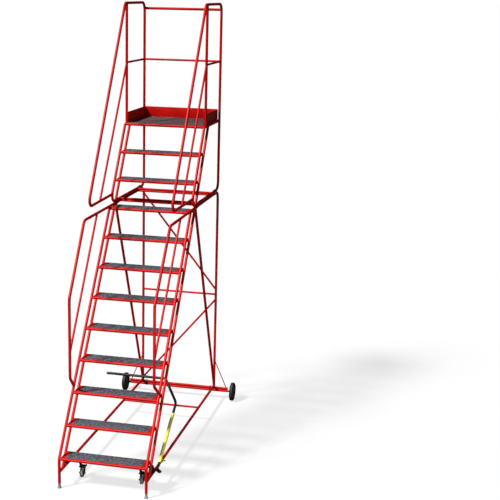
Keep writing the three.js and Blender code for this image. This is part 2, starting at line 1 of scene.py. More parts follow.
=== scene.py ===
# %% [markdown]
# # Dressing a mobile ladder stand
# The frame is already designed: steel tube in two bolted sections, eleven steps and a platform, two
# rear wheels and a pair of castors that a hand lever lowers. This lesson gives every piece its real
# surface: round bent tube with weld beads, gritted treads, tyres, paint and rubber. We load the packed
# frame first, because every size and place below is taken from it or from the few sizes it was drawn with.

# %% Load the frame
import math

import bmesh
import bpy
import numpy as np
from mathutils import Matrix, Vector


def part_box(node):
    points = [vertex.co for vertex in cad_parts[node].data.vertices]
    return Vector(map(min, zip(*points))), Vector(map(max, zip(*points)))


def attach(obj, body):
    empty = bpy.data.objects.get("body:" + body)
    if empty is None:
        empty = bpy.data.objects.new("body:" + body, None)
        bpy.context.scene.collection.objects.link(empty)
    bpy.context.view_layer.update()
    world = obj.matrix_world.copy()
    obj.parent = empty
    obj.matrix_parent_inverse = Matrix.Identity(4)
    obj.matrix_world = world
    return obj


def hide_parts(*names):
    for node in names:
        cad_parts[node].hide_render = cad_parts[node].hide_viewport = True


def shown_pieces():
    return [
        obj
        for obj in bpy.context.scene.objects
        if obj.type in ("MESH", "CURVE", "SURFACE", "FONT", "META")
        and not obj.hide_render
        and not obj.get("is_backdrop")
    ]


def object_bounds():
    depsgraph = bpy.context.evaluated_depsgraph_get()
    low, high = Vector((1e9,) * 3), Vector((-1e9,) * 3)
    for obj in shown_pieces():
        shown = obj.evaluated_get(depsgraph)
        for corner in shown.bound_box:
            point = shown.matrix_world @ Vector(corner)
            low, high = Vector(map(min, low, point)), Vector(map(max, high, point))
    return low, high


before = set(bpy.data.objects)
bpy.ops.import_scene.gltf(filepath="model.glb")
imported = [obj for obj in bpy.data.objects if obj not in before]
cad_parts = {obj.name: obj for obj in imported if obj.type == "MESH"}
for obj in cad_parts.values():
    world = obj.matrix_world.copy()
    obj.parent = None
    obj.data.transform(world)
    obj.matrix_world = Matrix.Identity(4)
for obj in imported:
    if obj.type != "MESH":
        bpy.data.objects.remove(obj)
cad_low, cad_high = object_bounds()
print("CAD box", [round(v, 3) for v in cad_high - cad_low])

# %% [markdown]
# ## Sizes
# The frame's own sizes are in millimetres, measured from the front feet, as a workshop drawing gives
# them. `at` turns such a place into a Blender vector in metres, in the frame's own coordinates.

# %% Driving sizes
MM = 0.001
TUBE_R = 13.5
LIGHT_R = 10.65
STAY_R = 5.0
FIRST_STEP_Z = 279.0
LOWER_RUN = 0.722
UPPER_RUN = 0.668
STRINGER_GAP = 168.0
REAR_Y = 2655.0
AXLE_Y = 2668.0
AXLE_Z = 100.0
GUARD_POST_Y = 2034.0
GUARD_Z = 4268.0
MID_RAIL_Z = 3690.0
BASE_Z = 154.6
TOP_RAIL_Z = 2332.0
UPPER_BASE_Z = 2359.3
PLATFORM_Z = 3081.0
RAIL_LEAN = 12.0
BEAM_TOP_Z = 127.3
BEAM_HALF = 560.0
FRAME_BEND = 80.0

base_low, base_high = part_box("base_rail_right")
HALF_WIDTH = (base_low.x + base_high.x) / 2 / MM
INNER_HALF = HALF_WIDTH - TUBE_R
CENTRE_Y = TUBE_R + 0.3 - base_low.y / MM
X_WAY, Y_WAY, Z_WAY = Vector((1, 0, 0)), Vector((0, 1, 0)), Vector((0, 0, 1))
SIDES = {"left": -1, "right": 1}


def at(x, y, z):
    return Vector((x, y - CENTRE_Y, z)) * MM


def lower_y(z):
    return LOWER_RUN * (z - FIRST_STEP_Z)


def upper_y(z):
    return lower_y(TOP_RAIL_Z) + UPPER_RUN * (z - TOP_RAIL_Z)


PLATFORM_Y = upper_y(PLATFORM_Z)
print("half width", round(HALF_WIDTH, 1), "front feet to middle", round(CENTRE_Y, 1))

# %% [markdown]
# ## Writing node trees as sums
# Node trees are easier to read as arithmetic. A `Wire` wraps one output socket, and adding or
# multiplying wires adds a Math node. A `Recipe` makes every other node: its settings go in first,
# then the values or wires of its sockets.

# %% Wires and recipes
class Wire:
    def __init__(self, recipe, socket):
        self.recipe = recipe
        self.socket = socket

    def maths(self, operation, *values):
        return self.recipe.node("ShaderNodeMath", {"operation": operation}, dict(enumerate(values)))

    def __add__(self, other):
        return self.maths("ADD", self, other)

    def __sub__(self, other):
        return self.maths("SUBTRACT", self, other)

    def __rsub__(self, other):
        return self.maths("SUBTRACT", other, self)

    def __mul__(self, other):
        return self.maths("MULTIPLY", self, other)

    __radd__ = __add__
    __rmul__ = __mul__

    def sine(self):
        return self.maths("SINE", self)

    def size(self):
        return self.maths("ABSOLUTE", self)

    def mask(self, low, high):
        """0 below low, 1 above high, smooth between."""
        values = {"Value": self, "From Min": low, "From Max": high}
        return self.recipe.node("ShaderNodeMapRange", {"interpolation_type": "SMOOTHSTEP"}, values)


class Recipe:
    def __init__(self, tree):
        self.tree = tree

    def node(self, kind, settings=None, sockets=None, output=0):
        made = self.tree.nodes.new(kind)
        for key, value in (settings or {}).items():
            setattr(made, key, value)
        for key, value in (sockets or {}).items():
            socket = made.inputs[key]
            if isinstance(value, Wire):
                self.tree.links.new(value.socket, socket)
            else:
                socket.default_value = value
        return Wire(self, made.outputs[output])

    def noise(self, where, scale, detail=3.0, roughness=0.55):
        values = {"Vector": where, "Scale": scale, "Detail": detail, "Roughness": roughness}
        return self.node("ShaderNodeTexNoise", None, values)

    def blend(self, first, second, factor):
        """Colour first where factor is 0, second where it is 1."""
        a, b = [(*c, 1.0) if isinstance(c, tuple) and len(c) == 3 else c for c in (first, second)]
        return self.node("ShaderNodeMix", {"data_type": "RGBA"}, {0: factor, 6: a, 7: b}, output=2)


print("recipes ready")

# %% [markdown]
# ## Finishes
# Each finish is one Principled shader. What wear does to a real surface is what the noise does here:
# paint fades and gathers dust on upward faces, rubber greys where it rolls, grit is a crowd of light
# and dark grains. The patterns read Object coordinates, in metres, so a scale of 400 makes marks of
# about two millimetres.

# %% A finish from a recipe
def finish(name, colour, roughness, bump=None, metallic=0.0, coat=None, fixed=None):
    """colour, roughness, bump and coat are functions of (recipe, place); the rest are plain numbers."""
    material = bpy.data.materials.new(name)
    material.use_nodes = True
    tree = material.node_tree
    shader = tree.nodes["Principled BSDF"]
    recipe = Recipe(tree)
    place = recipe.node("ShaderNodeTexCoord", output=3)
    tree.links.new(colour(recipe, place).socket, shader.inputs["Base Color"])
    tree.links.new(roughness(recipe, place).socket, shader.inputs["Roughness"])
    if coat:
        tree.links.new(coat(recipe, place).socket, shader.inputs["Coat Weight"])
    if bump:
        height, distance = bump(recipe, place)
        values = {"Height": height, "Distance": distance, "Strength": 1.0}
        normal = recipe.node("ShaderNodeBump", None, values)
        tree.links.new(normal.socket, shader.inputs["Normal"])
    shader.inputs["Metallic"].default_value = metallic
    for socket, value in (fixed or {}).items():
        shader.inputs[socket].default_value = value
    return material


def dusting(recipe, place, amount):
    """How much dust lies here: more on faces that look up, in patches."""
    normal = recipe.node("ShaderNodeTexCoord", output=1)
    up = recipe.node("ShaderNodeSeparateXYZ", None, {0: normal}, output=2)
    return up.mask(0.2, 1.0) * recipe.noise(place, 9.0).mask(0.35, 0.7) * amount


print("a finish is", finish.__code__.co_argcount, "choices")


# %% Red gloss paint
def red_colour(recipe, place):
    faded = recipe.noise(place, 2.2, 2.0).mask(0.35, 0.7)
    red = recipe.blend((0.69, 0.006, 0.003), (0.56, 0.003, 0.002), faded)
    scuffed = recipe.noise(place, 48.0, 5.0, 0.7).mask(0.72, 0.78)
    red = recipe.blend(red, (0.20, 0.008, 0.006), scuffed * 0.7)
    return recipe.blend(red, (0.34, 0.09, 0.08), dusting(recipe, place, 0.10))


def gloss_roughness(recipe, place):
    return 0.38 + recipe.noise(place, 30.0) * 0.10 + dusting(recipe, place, 0.15)


def orange_peel(recipe, place):
    return recipe.noise(place, 200.0, 2.0), 0.00005


red_paint = finish(
    "red_paint", red_colour, gloss_roughness, orange_peel,
    coat=lambda recipe, place: 0.06 - dusting(recipe, place, 0.05),
    fixed={"Coat Roughness": 0.2, "Specular IOR Level": 0.2},
)
print("red paint has", len(red_paint.node_tree.nodes), "nodes")


# %% Grit for the treads
def grit_colours(light, dark):
    def colour(recipe, place):
        grains = recipe.noise(place, 300.0, 2.0, 0.6).mask(0.40, 0.62)
        clumps = recipe.noise(place, 62.0, 3.0, 0.75).mask(0.44, 0.58)
        stone = recipe.blend(dark, light, grains * 0.3 + clumps * 0.7)
        worn = recipe.noise(place, 6.0, 3.0).mask(0.5, 0.75)
        return recipe.blend(stone, light, worn * 0.15)

    return colour


def grit_roughness(recipe, place):
    return 0.75 + recipe.noise(place, 300.0) * 0.2


def grit_bump(recipe, place):
    return recipe.noise(place, 420.0, 3.0, 0.7), 0.0010


grey_grit = grit_colours((0.185, 0.20, 0.235), (0.008, 0.010, 0.017))
brown_grit = grit_colours((0.20, 0.125, 0.13), (0.022, 0.008, 0.011))
tread_grit = finish("tread_grit", grey_grit, grit_roughness, grit_bump)
deck_grit = finish("deck_grit", brown_grit, grit_roughness, grit_bump)
print("grit has", len(tread_grit.node_tree.nodes), "nodes")


# %% Black paint, yellow sleeve and clamp
def plain_colours(first, second, scale, dust):
    def colour(recipe, place):
        base = recipe.blend(first, second, recipe.noise(place, scale).mask(0.35, 0.65))
        return recipe.blend(base, (0.32, 0.30, 0.27), dusting(recipe, place, dust))

    return colour


def satin_roughness(recipe, place):
    return 0.36 + recipe.noise(place, 45.0) * 0.18


def fine_bump(recipe, place):
    return recipe.noise(place, 320.0, 3.0), 0.0001


black_paint = finish(
    "black_paint", plain_colours((0.016, 0.015, 0.006), (0.008, 0.007, 0.005), 14.0, 0.10),
    satin_roughness, fine_bump,
)
yellow_sleeve = finish(
    "yellow_sleeve", plain_colours((0.96, 0.88, 0.16), (0.90, 0.80, 0.11), 8.0, 0.03),
    lambda recipe, place: 0.38 + recipe.noise(place, 60.0) * 0.15, fine_bump,
)
yellow_paint = finish(
    "yellow_paint", plain_colours((0.98, 0.72, 0.03), (0.92, 0.60, 0.02), 20.0, 0.03),
    satin_roughness, fine_bump,
)
print("black and yellow ready")


# %% Rubber and bright steel
def rubber(name, tone, dust):
    light = tuple(channel * 1.6 for channel in tone)
    return finish(
        name, plain_colours(tone, light, 25.0, dust),
        lambda recipe, place: 0.55 + recipe.noise(place, 90.0) * 0.25,
        lambda recipe, place: (recipe.noise(place, 420.0, 3.0), 0.00025),
    )


black_rubber = rubber("black_rubber", (0.022, 0.022, 0.023), 0.35)
grey_rubber = rubber("grey_rubber", (0.33, 0.32, 0.29), 0.1)
foot_rubber = rubber("foot_rubber", (0.20, 0.21, 0.22), 0.1)
hub_plastic = finish(
    "hub_plastic", plain_colours((0.10, 0.10, 0.10), (0.06, 0.06, 0.06), 16.0, 0.3),
    satin_roughness, fine_bump,
)
zinc = finish(
    "zinc", plain_colours((0.58, 0.58, 0.56), (0.42, 0.42, 0.43), 60.0, 0.1),
    lambda recipe, place: 0.28 + recipe.noise(place, 120.0) * 0.25, fine_bump, metallic=1.0,
)
print(len(bpy.data.materials), "finishes")

# %% [markdown]
# ## Making pieces
# A finished piece keeps its object at the origin and its place in its mesh, like the frame's own
# nodes. `piece` gives a mesh its finish, rides it on a body of the frame, and hides the frame's nodes
# that it stands for. Faces are smooth except where they meet at more than 35 degrees.

# %% Piece helper
SHARP = math.radians(35)


def piece(name, mesh, material=None, body="frame", stands_for=(), slot=None):
    if material:
        mesh.materials.clear()
        mesh.materials.append(material)
    mesh.shade_smooth()
    mesh.set_sharp_from_angle(angle=SHARP)
    made = bpy.data.objects.new(name, mesh)
    bpy.context.scene.collection.objects.link(made)
    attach(made, body)
    if stands_for:
        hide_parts(*stands_for)
    return made


print("edges sharper than", round(math.degrees(SHARP)), "degrees stay sharp")


# %% Turned shapes
def along(origin, direction):
    """The matrix that stands a shape made round Z at origin, pointing along direction."""
    return Matrix.Translation(origin) @ direction.to_track_quat("Z", "Y").to_matrix().to_4x4()


def turned(profile, matrix, segments=48, ring=False):
    """A solid turned round Z from (radius, height) points in mm; ring joins the last to the first."""
    shape = bmesh.new()
    rows = []
    for radius, height in profile:
        if radius < 1e-6:
            rows.append([shape.verts.new((0, 0, height * MM))] * segments)
            continue
        angles = [2 * math.pi * k / segments for k in range(segments)]
        rows.append([
            shape.verts.new((radius * MM * math.cos(a), radius * MM * math.sin(a), height * MM))
            for a in angles
        ])
    pairs = list(zip(rows, rows[1:] + rows[:1])) if ring else list(zip(rows, rows[1:]))
    for low, high in pairs:
        for k in range(segments):
            corners = [low[k], low[(k + 1) % segments], high[(k + 1) % segments], high[k]]
            shape.faces.new(list(dict.fromkeys(corners)))
    shape.transform(matrix)
    bmesh.ops.recalc_face_normals(shape, faces=shape.faces)
    return shape


def ring_profile(bore, outer, half, chamfer=(1.0, 1.0)):
    """(radius, height) points of a ring, or a bar where bore is 0; chamfer is (inwards, along)."""
    inwards, lengthways = chamfer
    return [
        (bore, -half), (outer - inwards, -half), (outer, lengthways - half),
        (outer, half - lengthways), (outer - inwards, half), (bore, half),
    ]


print("a plain ring has", len(ring_profile(1, 5, 4)), "corners")


# %% Flat plates and blocks
def plate(outline, thickness, matrix, bevel=1.0):
    """An outline in mm, in the matrix's XY plane, given a thickness along its Z and bevelled edges."""
    shape = bmesh.new()
    half = thickness / 2
    low = [shape.verts.new((x * MM, y * MM, -half * MM)) for x, y in outline]
    high = [shape.verts.new((x * MM, y * MM, half * MM)) for x, y in outline]
    count = len(outline)
    shape.faces.new(low[::-1])
    shape.faces.new(high)
    for k in range(count):
        shape.faces.new([low[k], low[(k + 1) % count], high[(k + 1) % count], high[k]])
    bmesh.ops.recalc_face_normals(shape, faces=shape.faces)
    if bevel:
        bmesh.ops.bevel(
            shape, geom=[e for e in shape.edges if e.calc_face_angle(0) > 0.6], offset=bevel * MM,
            segments=2, profile=0.5, affect="EDGES", clamp_overlap=True,
        )
    shape.transform(matrix)
    return shape


def block(size, matrix, bevel=1.0):
    x, y = size[0] / 2, size[1] / 2
    return plate([(-x, -y), (x, -y), (x, y), (-x, y)], size[2], matrix, bevel)


def side_plane(x):
    """Outlines given as (y, z) from the front feet stand in the side plane at x."""
    basis = Matrix((Y_WAY, Z_WAY, X_WAY)).transposed().to_4x4()
    return Matrix.Translation(at(x, 0, 0)) @ basis


print("plates ready")


# %% Joining shapes and rounding outlines
def welded(name, *shapes):
    """One mesh from several shapes."""
    whole = bmesh.new()
    for shape in shapes:
        scratch = bpy.data.meshes.new("scratch")
        shape.to_mesh(scratch)
        whole.from_mesh(scratch)
        shape.free()
        bpy.data.meshes.remove(scratch)
    mesh = bpy.data.meshes.new(name)
    whole.to_mesh(mesh)
    whole.free()
    return mesh


def merged(first, second):
    """The first mesh with the second added to it."""
    whole = bmesh.new()
    whole.from_mesh(first)
    whole.from_mesh(second)
    whole.to_mesh(first)
    whole.free()
    return first


def rounded(corners, radius, steps=6):
    """An outline with each of its corners replaced by an arc; a corner may give its own radius."""
    points = []
    count = len(corners)
    for k, corner in enumerate(corners):
        here = Vector(corner[:2])
        if (corner[2] if len(corner) > 2 else radius) < 0.05:
            points.append(tuple(here))
            continue
        before = (Vector(corners[k - 1][:2]) - here).normalized()
        after = (Vector(corners[(k + 1) % count][:2]) - here).normalized()
        bend = corner[2] if len(corner) > 2 else radius
        half = before.angle(after) / 2
        reach = bend / math.tan(half)
        middle = here + (before + after).normalized() * bend / math.sin(half)
        start, end = here + before * reach - middle, here + after * reach - middle
        turn = start.angle_signed(end)
        points += [tuple(middle + Matrix.Rotation(-turn * s / steps, 2) @ start) for s in range(steps + 1)]
    return points


print("shape helpers ready")

# %% [markdown]
# ## Bent tube by Geometry Nodes
# The whole stand is tube, bent cold round a former and welded where it meets its neighbours. A tube
# could be a Bezier curve with a bevel, but then every bend would need its handles set. Here a plain
# polyline holds the corners, with the bend's radius and the tube's radius kept at each point. The
# tree fillets the corners and sweeps a circle, so the same rule makes every tube. A second
# branch of the tree sweeps the weld beads, rippled like a hand weld.

# %% The tube tree
def group_socket(group, name, kind, default=None):
    socket = group.interface.new_socket(name, in_out="INPUT", socket_type=kind)
    if default is not None:
        socket.default_value = default


def attribute(recipe, name):
    return recipe.node("GeometryNodeInputNamedAttribute", {"data_type": "FLOAT"}, {"Name": name})


def swept(recipe, curve, sides, radius, caps):
    circle = recipe.node("GeometryNodeCurvePrimitiveCircle", None, {"Resolution": sides, "Radius": 1.0})
    values = {"Curve": curve, "Profile Curve": circle, "Scale": radius, "Fill Caps": caps}
    return recipe.node("GeometryNodeCurveToMesh", None, values)


def given(group, recipe, *names):
    """The group's inputs as wires."""
    inlet = group.nodes.new("NodeGroupInput")
    return [Wire(recipe, inlet.outputs[name]) for name in names]


def tube_tree():
    group = bpy.data.node_groups.new("bent tube with welds", "GeometryNodeTree")
    group_socket(group, "Lines", "NodeSocketGeometry")
    group_socket(group, "Tube Sides", "NodeSocketInt", 28)
    group_socket(group, "Bend Steps", "NodeSocketInt", 9)
    group_socket(group, "Ripple", "NodeSocketFloat", 0.35)
    group_socket(group, "Paint", "NodeSocketMaterial")
    group.interface.new_socket("Tubes", in_out="OUTPUT", socket_type="NodeSocketGeometry")
    recipe = Recipe(group)
    lines, sides, steps, ripple, paint = given(
        group, recipe, "Lines", "Tube Sides", "Bend Steps", "Ripple", "Paint"
    )
    bead = attribute(recipe, "bead")
    tubes = recipe.node("GeometryNodeMeshToCurve", None, {"Mesh": lines, "Selection": 1.0 - bead})
    values = {"Curve": tubes, "Count": steps, "Radius": attribute(recipe, "bend"), "Limit Radius": True}
    bent = recipe.node("GeometryNodeFilletCurve", {"mode": "POLY"}, values)
    steel = swept(recipe, bent, sides, attribute(recipe, "thickness"), True)
    seams = recipe.node("GeometryNodeMeshToCurve", None, {"Mesh": lines, "Selection": bead})
    travel = recipe.node("GeometryNodeSplineParameter", output=1)
    swell = 1.0 - ripple * (travel * 620.0).sine().size()
    beads = swept(recipe, seams, 6, attribute(recipe, "thickness") * swell, False)
    both = recipe.node("GeometryNodeJoinGeometry", None, {"Geometry": steel})
    group.links.new(beads.socket, both.socket.node.inputs[0])
    real = recipe.node("GeometryNodeRealizeInstances", None, {"Geometry": both})
    done = recipe.node("GeometryNodeSetMaterial", None, {"Geometry": real, "Material": paint})
    outlet = group.nodes.new("NodeGroupOutput")
    group.links.new(done.socket, outlet.inputs["Tubes"])
    return group


bent_tubes = tube_tree()
print("tube tree has", len(bent_tubes.nodes), "nodes")


# %% Growing a mesh from a tree
def grown(name, mesh, group, values):
    """The mesh that a tree grows from another; inputs are set by their sockets' identifiers."""
    source = bpy.data.objects.new(name + " source", mesh)
    bpy.context.scene.collection.objects.link(source)
    modifier = source.modifiers.new("tree", "NODES")
    modifier.node_group = group
    for item in group.interface.items_tree:
        if item.item_type == "SOCKET" and item.in_out == "INPUT" and item.name in values:
            modifier[item.identifier] = values[item.name]
    evaluated = source.evaluated_get(bpy.context.evaluated_depsgraph_get())
    made = bpy.data.meshes.new_from_object(evaluated)
    source.modifiers.remove(modifier)
    bpy.data.objects.remove(source)
    made.name = name
    return made


print("trees take", [item.name for item in bent_tubes.interface.items_tree if item.in_out == "INPUT"])

# %% [markdown]
# ## Runs of tube and the welds at their ends
# A `Run` is one tube: its corners, its radius and the radius of each bend. Where it ends on another
# tube, the weld lies on the curve in which the two cylinders meet. For a point that goes round the
# small tube, the distance along it to the big tube's surface is the root of a quadratic.

# %% Runs
WELD_POINTS = 44


class Run:
    def __init__(self, corners, radius=TUBE_R, bends=FRAME_BEND):
        self.corners = corners
        self.radius = radius
        inner = len(corners) - 2
        self.bends = list(bends) if isinstance(bends, (list, tuple)) else [bends] * inner
        self.welds = []

    def start(self, end):
        """The place of the tube's start (0) or end (-1), and the way into the tube from there."""
        here, inward = self.corners[end], self.corners[1] if end == 0 else self.corners[-2]
        return here, (inward - here).normalized()

    def meets(self, end, neighbour, radius=TUBE_R):
        """That end is welded to the side of a tube of that radius, which runs along neighbour."""
        here, way = self.start(end)
        self.welds.append(meeting_curve(here, way, self.radius, neighbour.normalized(), radius))
        return self

    def butts(self, end):
        """A plain ring of weld at that end, where two tubes of one size meet in line."""
        here, way = self.start(end)
        self.welds.append([here + offset for offset in round_offsets(way, self.radius)])
        return self


print("a weld has", WELD_POINTS, "points")


# %% Where two tubes meet
def round_offsets(way, radius):
    one = way.orthogonal().normalized()
    two = way.cross(one)
    turns = [2 * math.pi * k / WELD_POINTS for k in range(WELD_POINTS)]
    return [(one * math.cos(a) + two * math.sin(a)) * radius * MM for a in turns]


def meeting_curve(here, way, small, axis, big):
    points = []
    across = way - axis * way.dot(axis)
    for offset in round_offsets(way, small):
        aside = offset - axis * offset.dot(axis)
        a, b, c = across.length_squared, aside.dot(across), aside.length_squared - (big * MM) ** 2
        reach = (-b + math.sqrt(max(b * b - a * c, 0))) / a
        points.append(here + offset + way * reach)
    return points


trial = Run([Vector((0, 0, 0)), Vector((0, 0, 1))], LIGHT_R).meets(0, X_WAY)
print("a weld rises and falls by", round((max(trial.welds[0], key=lambda c: c.z).z) / MM, 1), "mm at most")


# %% Lines for the tube tree
BEAD_R = 2.6


def line_mesh(name, runs):
    """Polylines with the attributes that the tube tree reads."""
    corners, edges, thickness, bend, bead = [], [], [], [], []
    for run in runs:
        first = len(corners)
        corners += run.corners
        edges += [(k, k + 1) for k in range(first, len(corners) - 1)]
        thickness += [run.radius * MM] * len(run.corners)
        bend += [0.0] + [radius * MM for radius in run.bends] + [0.0]
        bead += [0.0] * len(run.corners)
        for ring in run.welds:
            first, count = len(corners), len(ring)
            corners += ring
            edges += [(first + k, first + (k + 1) % count) for k in range(count)]
            thickness += [BEAD_R * MM] * count
            bend += [0.0] * count
            bead += [1.0] * count
    mesh = bpy.data.meshes.new(name)
    mesh.from_pydata([tuple(c) for c in corners], edges, [])
    for label, numbers in {"thickness": thickness, "bend": bend, "bead": bead}.items():
        mesh.attributes.new(label, "FLOAT", "POINT").data.foreach_set("value", numbers)
    return mesh


def tubes(name, runs, paint=red_paint):
    values = {"Paint": paint, "Tube Sides": 28, "Bend Steps": 9, "Ripple": 0.35}
    return grown(name, line_mesh(name, runs), bent_tubes, values)


def tube_piece(node, *runs):
    return piece(node + "_tube", tubes(node, runs), None, "frame", [node], "red_paint")


print("runs ready")

# %% [markdown]
# ## The lower section's side frames
# Each side is a pair of stringers that carry the steps, a top rail bent down into the rear post, a
# base rail along the floor, a brace and a handrail. Both sides are the same except that the handrails
# lean in a little at their lower ends, so one loop makes the two.

# %% Lower side frames
LOWER_RAIL_OFFSET = 752.0
LOWER_KNEE_OFFSET = 388.0
UPRIGHT_Y = 275.0
TOE_Z = 955.0
RAIL_FOOT_Z = 840.0
FOOT_H = 55.0
LOWER_JOINT_Y = lower_y(TOP_RAIL_Z) - LOWER_RAIL_OFFSET + 160
LOWER_SLOPE = Vector((0, LOWER_RUN, 1)).normalized()
UPPER_SLOPE = Vector((0, UPPER_RUN, 1)).normalized()
KNEE_BEND = 60.0
TOE_BEND = 45.0


def lower_side(side, x):
    lean = x - SIDES[side] * RAIL_LEAN
    top, rear = TOP_RAIL_Z, REAR_Y
    knee_z = FIRST_STEP_Z + (UPRIGHT_Y + LOWER_KNEE_OFFSET) / LOWER_RUN
    upright_z = FIRST_STEP_Z + (UPRIGHT_Y + LOWER_RAIL_OFFSET) / LOWER_RUN
    base = Run([at(x, 0, BASE_Z), at(x, rear + TUBE_R, BASE_Z)]).meets(0, Z_WAY)
    tube_piece(f"base_rail_{side}", base)
    front = Run([at(x, 0, FOOT_H - 6), at(x, 0, FIRST_STEP_Z), at(x, lower_y(top), top)], TUBE_R, KNEE_BEND)
    tube_piece(f"lower_front_stringer_{side}", front.meets(-1, Y_WAY))
    back = Run([at(x, lower_y(BASE_Z) + STRINGER_GAP, BASE_Z), at(x, lower_y(top) + STRINGER_GAP, top)])
    tube_piece(f"lower_back_stringer_{side}", back.meets(0, Y_WAY).meets(-1, Y_WAY))
    post = Run([at(x, LOWER_JOINT_Y, top), at(x, rear, top), at(x, rear, BASE_Z)])
    tube_piece(f"lower_rear_post_{side}", post.meets(-1, Y_WAY).butts(0))
    rail = Run(
        [
            at(x, lower_y(RAIL_FOOT_Z), RAIL_FOOT_Z),
            at(lean, UPRIGHT_Y, TOE_Z),
            at(lean, UPRIGHT_Y, upright_z),
            at(x, lower_y(top) - LOWER_RAIL_OFFSET, top),
            at(x, LOWER_JOINT_Y, top),
        ],
        TUBE_R,
        [TOE_BEND, FRAME_BEND, FRAME_BEND],
    )
    knee = Run([at(lean, UPRIGHT_Y, knee_z), at(x, lower_y(top) - LOWER_KNEE_OFFSET, top)], LIGHT_R)
    knee.meets(0, Z_WAY).meets(-1, Y_WAY)
    tube_piece(f"lower_handrail_{side}", rail.meets(0, LOWER_SLOPE), knee)
    brace = Run([at(x, lower_y(top) + STRINGER_GAP + 12, top), at(x, rear - 6, BASE_Z + 14)])
    tube_piece(f"side_brace_{side}", brace.meets(0, Y_WAY).meets(-1, Z_WAY))


for side, sign in SIDES.items():
    lower_side(side, sign * HALF_WIDTH)

# %% [markdown]
# ## Cross members
# Light tubes tie the two sides together: three at the back, one between the base rails, and two pairs
# where the sections meet. The rear diagonals and the level brace end on the posts.

# %% Cross members
BRACE_UPPER = {"left": 2270.0, "right": 1252.0}
BRACE_LOWER = {"left": 176.0, "right": 1144.0}
BRACE_LEVEL_Z = 1200.0
JOINT_CROSS_Y = {"front": 1800.0, "rear": 2400.0}
BASE_CROSS_Y = 1942.0
PAIR_DROP = TUBE_R - LIGHT_R


def cross(y, left_z, right_z, neighbour, radius=LIGHT_R):
    run = Run([at(-HALF_WIDTH, y, left_z), at(HALF_WIDTH, y, right_z)], radius)
    return run.meets(0, neighbour).meets(-1, neighbour)


tube_piece("rear_brace_upper", cross(REAR_Y, BRACE_UPPER["left"], BRACE_UPPER["right"], Z_WAY))
tube_piece("rear_brace_lower", cross(REAR_Y, BRACE_LOWER["left"], BRACE_LOWER["right"], Z_WAY))
tube_piece("rear_brace_middle", cross(REAR_Y, BRACE_LEVEL_Z, BRACE_LEVEL_Z, Z_WAY))
tube_piece("base_cross_tube", cross(BASE_CROSS_Y, BASE_Z, BASE_Z, Y_WAY))
for place, y in JOINT_CROSS_Y.items():
    low_z, high_z = TOP_RAIL_Z + PAIR_DROP, UPPER_BASE_Z - PAIR_DROP
    tube_piece(f"{place}_joint_cross_lower", cross(y, low_z, low_z, Y_WAY))
    tube_piece(f"{place}_joint_cross_upper", cross(y, high_z, high_z, Y_WAY))
print("cross members done")

# %% [markdown]
# ## The upper section's side frames
# The upper section stands on the lower one. Its front stringer turns into the bottom rail, which runs
# back and up as the rear post and over as the top guard rail, so the guard, post and rail are one
# long bent tube in two lengths, joined on top.

# %% Upper side frames
UPPER_JOINT_Y = lower_y(TOP_RAIL_Z) + 260
GUARD_JOINT_Y = REAR_Y - 160
UPPER_OFFSET = {"top": 793.0, "bottom": 752.0}
UPPER_KNEE_OFFSET = 392.0
RETURN_Z = 2437.0
UPPER_FOOT_BEND = 66.0
GUARD_BEND = 60.0
BACK_RAIL_DROP = 58.0


def upper_side(side, x):
    lean = x - SIDES[side] * RAIL_LEAN
    knee_lean = x - SIDES[side] * RAIL_LEAN / 2
    base, rear = UPPER_BASE_Z, REAR_Y
    corners = [at(x, UPPER_JOINT_Y, base), at(x, upper_y(base), base), at(x, PLATFORM_Y, PLATFORM_Z)]
    front = Run(corners, TUBE_R, UPPER_FOOT_BEND)
    tube_piece(f"upper_front_stringer_{side}", front.meets(-1, X_WAY))
    back = Run([at(x, upper_y(base) + STRINGER_GAP, base), at(x, PLATFORM_Y + STRINGER_GAP, PLATFORM_Z)])
    tube_piece(f"upper_back_stringer_{side}", back.meets(0, Y_WAY).meets(-1, Y_WAY))
    corners = [at(x, UPPER_JOINT_Y, base), at(x, rear, base)]
    corners += [at(x, rear, GUARD_Z), at(x, GUARD_JOINT_Y, GUARD_Z)]
    tube_piece(f"upper_rear_post_{side}", Run(corners).butts(0).butts(-1))
    rail = Run(
        [
            at(x, GUARD_JOINT_Y, GUARD_Z),
            at(x, upper_y(GUARD_Z) - UPPER_OFFSET["top"], GUARD_Z),
            at(lean, upper_y(RETURN_Z) - UPPER_OFFSET["bottom"], RETURN_Z),
            at(x, upper_y(RETURN_Z), RETURN_Z),
        ],
        TUBE_R,
        GUARD_BEND,
    )
    knee = Run(
        [at(x, GUARD_POST_Y, MID_RAIL_Z), at(knee_lean, upper_y(RETURN_Z) - UPPER_KNEE_OFFSET, RETURN_Z)],
        LIGHT_R,
    )
    knee.meets(0, Z_WAY).meets(-1, Y_WAY)
    tube_piece(f"upper_handrail_{side}", rail.meets(-1, UPPER_SLOPE), knee)
    guard = Run([at(x, GUARD_POST_Y, PLATFORM_Z), at(x, GUARD_POST_Y, GUARD_Z)])
    middle = Run([at(x, GUARD_POST_Y, MID_RAIL_Z), at(x, rear, MID_RAIL_Z)], LIGHT_R)
    middle.meets(0, Z_WAY).meets(-1, Z_WAY)
    tube_piece(f"guard_post_{side}", guard.meets(0, Y_WAY).meets(-1, Y_WAY), middle)


for side, sign in SIDES.items():
    upper_side(side, sign * HALF_WIDTH)
back_rail_z = GUARD_Z - BACK_RAIL_DROP
tube_piece("guard_back_rail", cross(REAR_Y, back_rail_z, back_rail_z, Z_WAY, TUBE_R))
tube_piece("guard_back_mid_rail", cross(REAR_Y, MID_RAIL_Z, MID_RAIL_Z, Z_WAY))
print("upper side frames done")

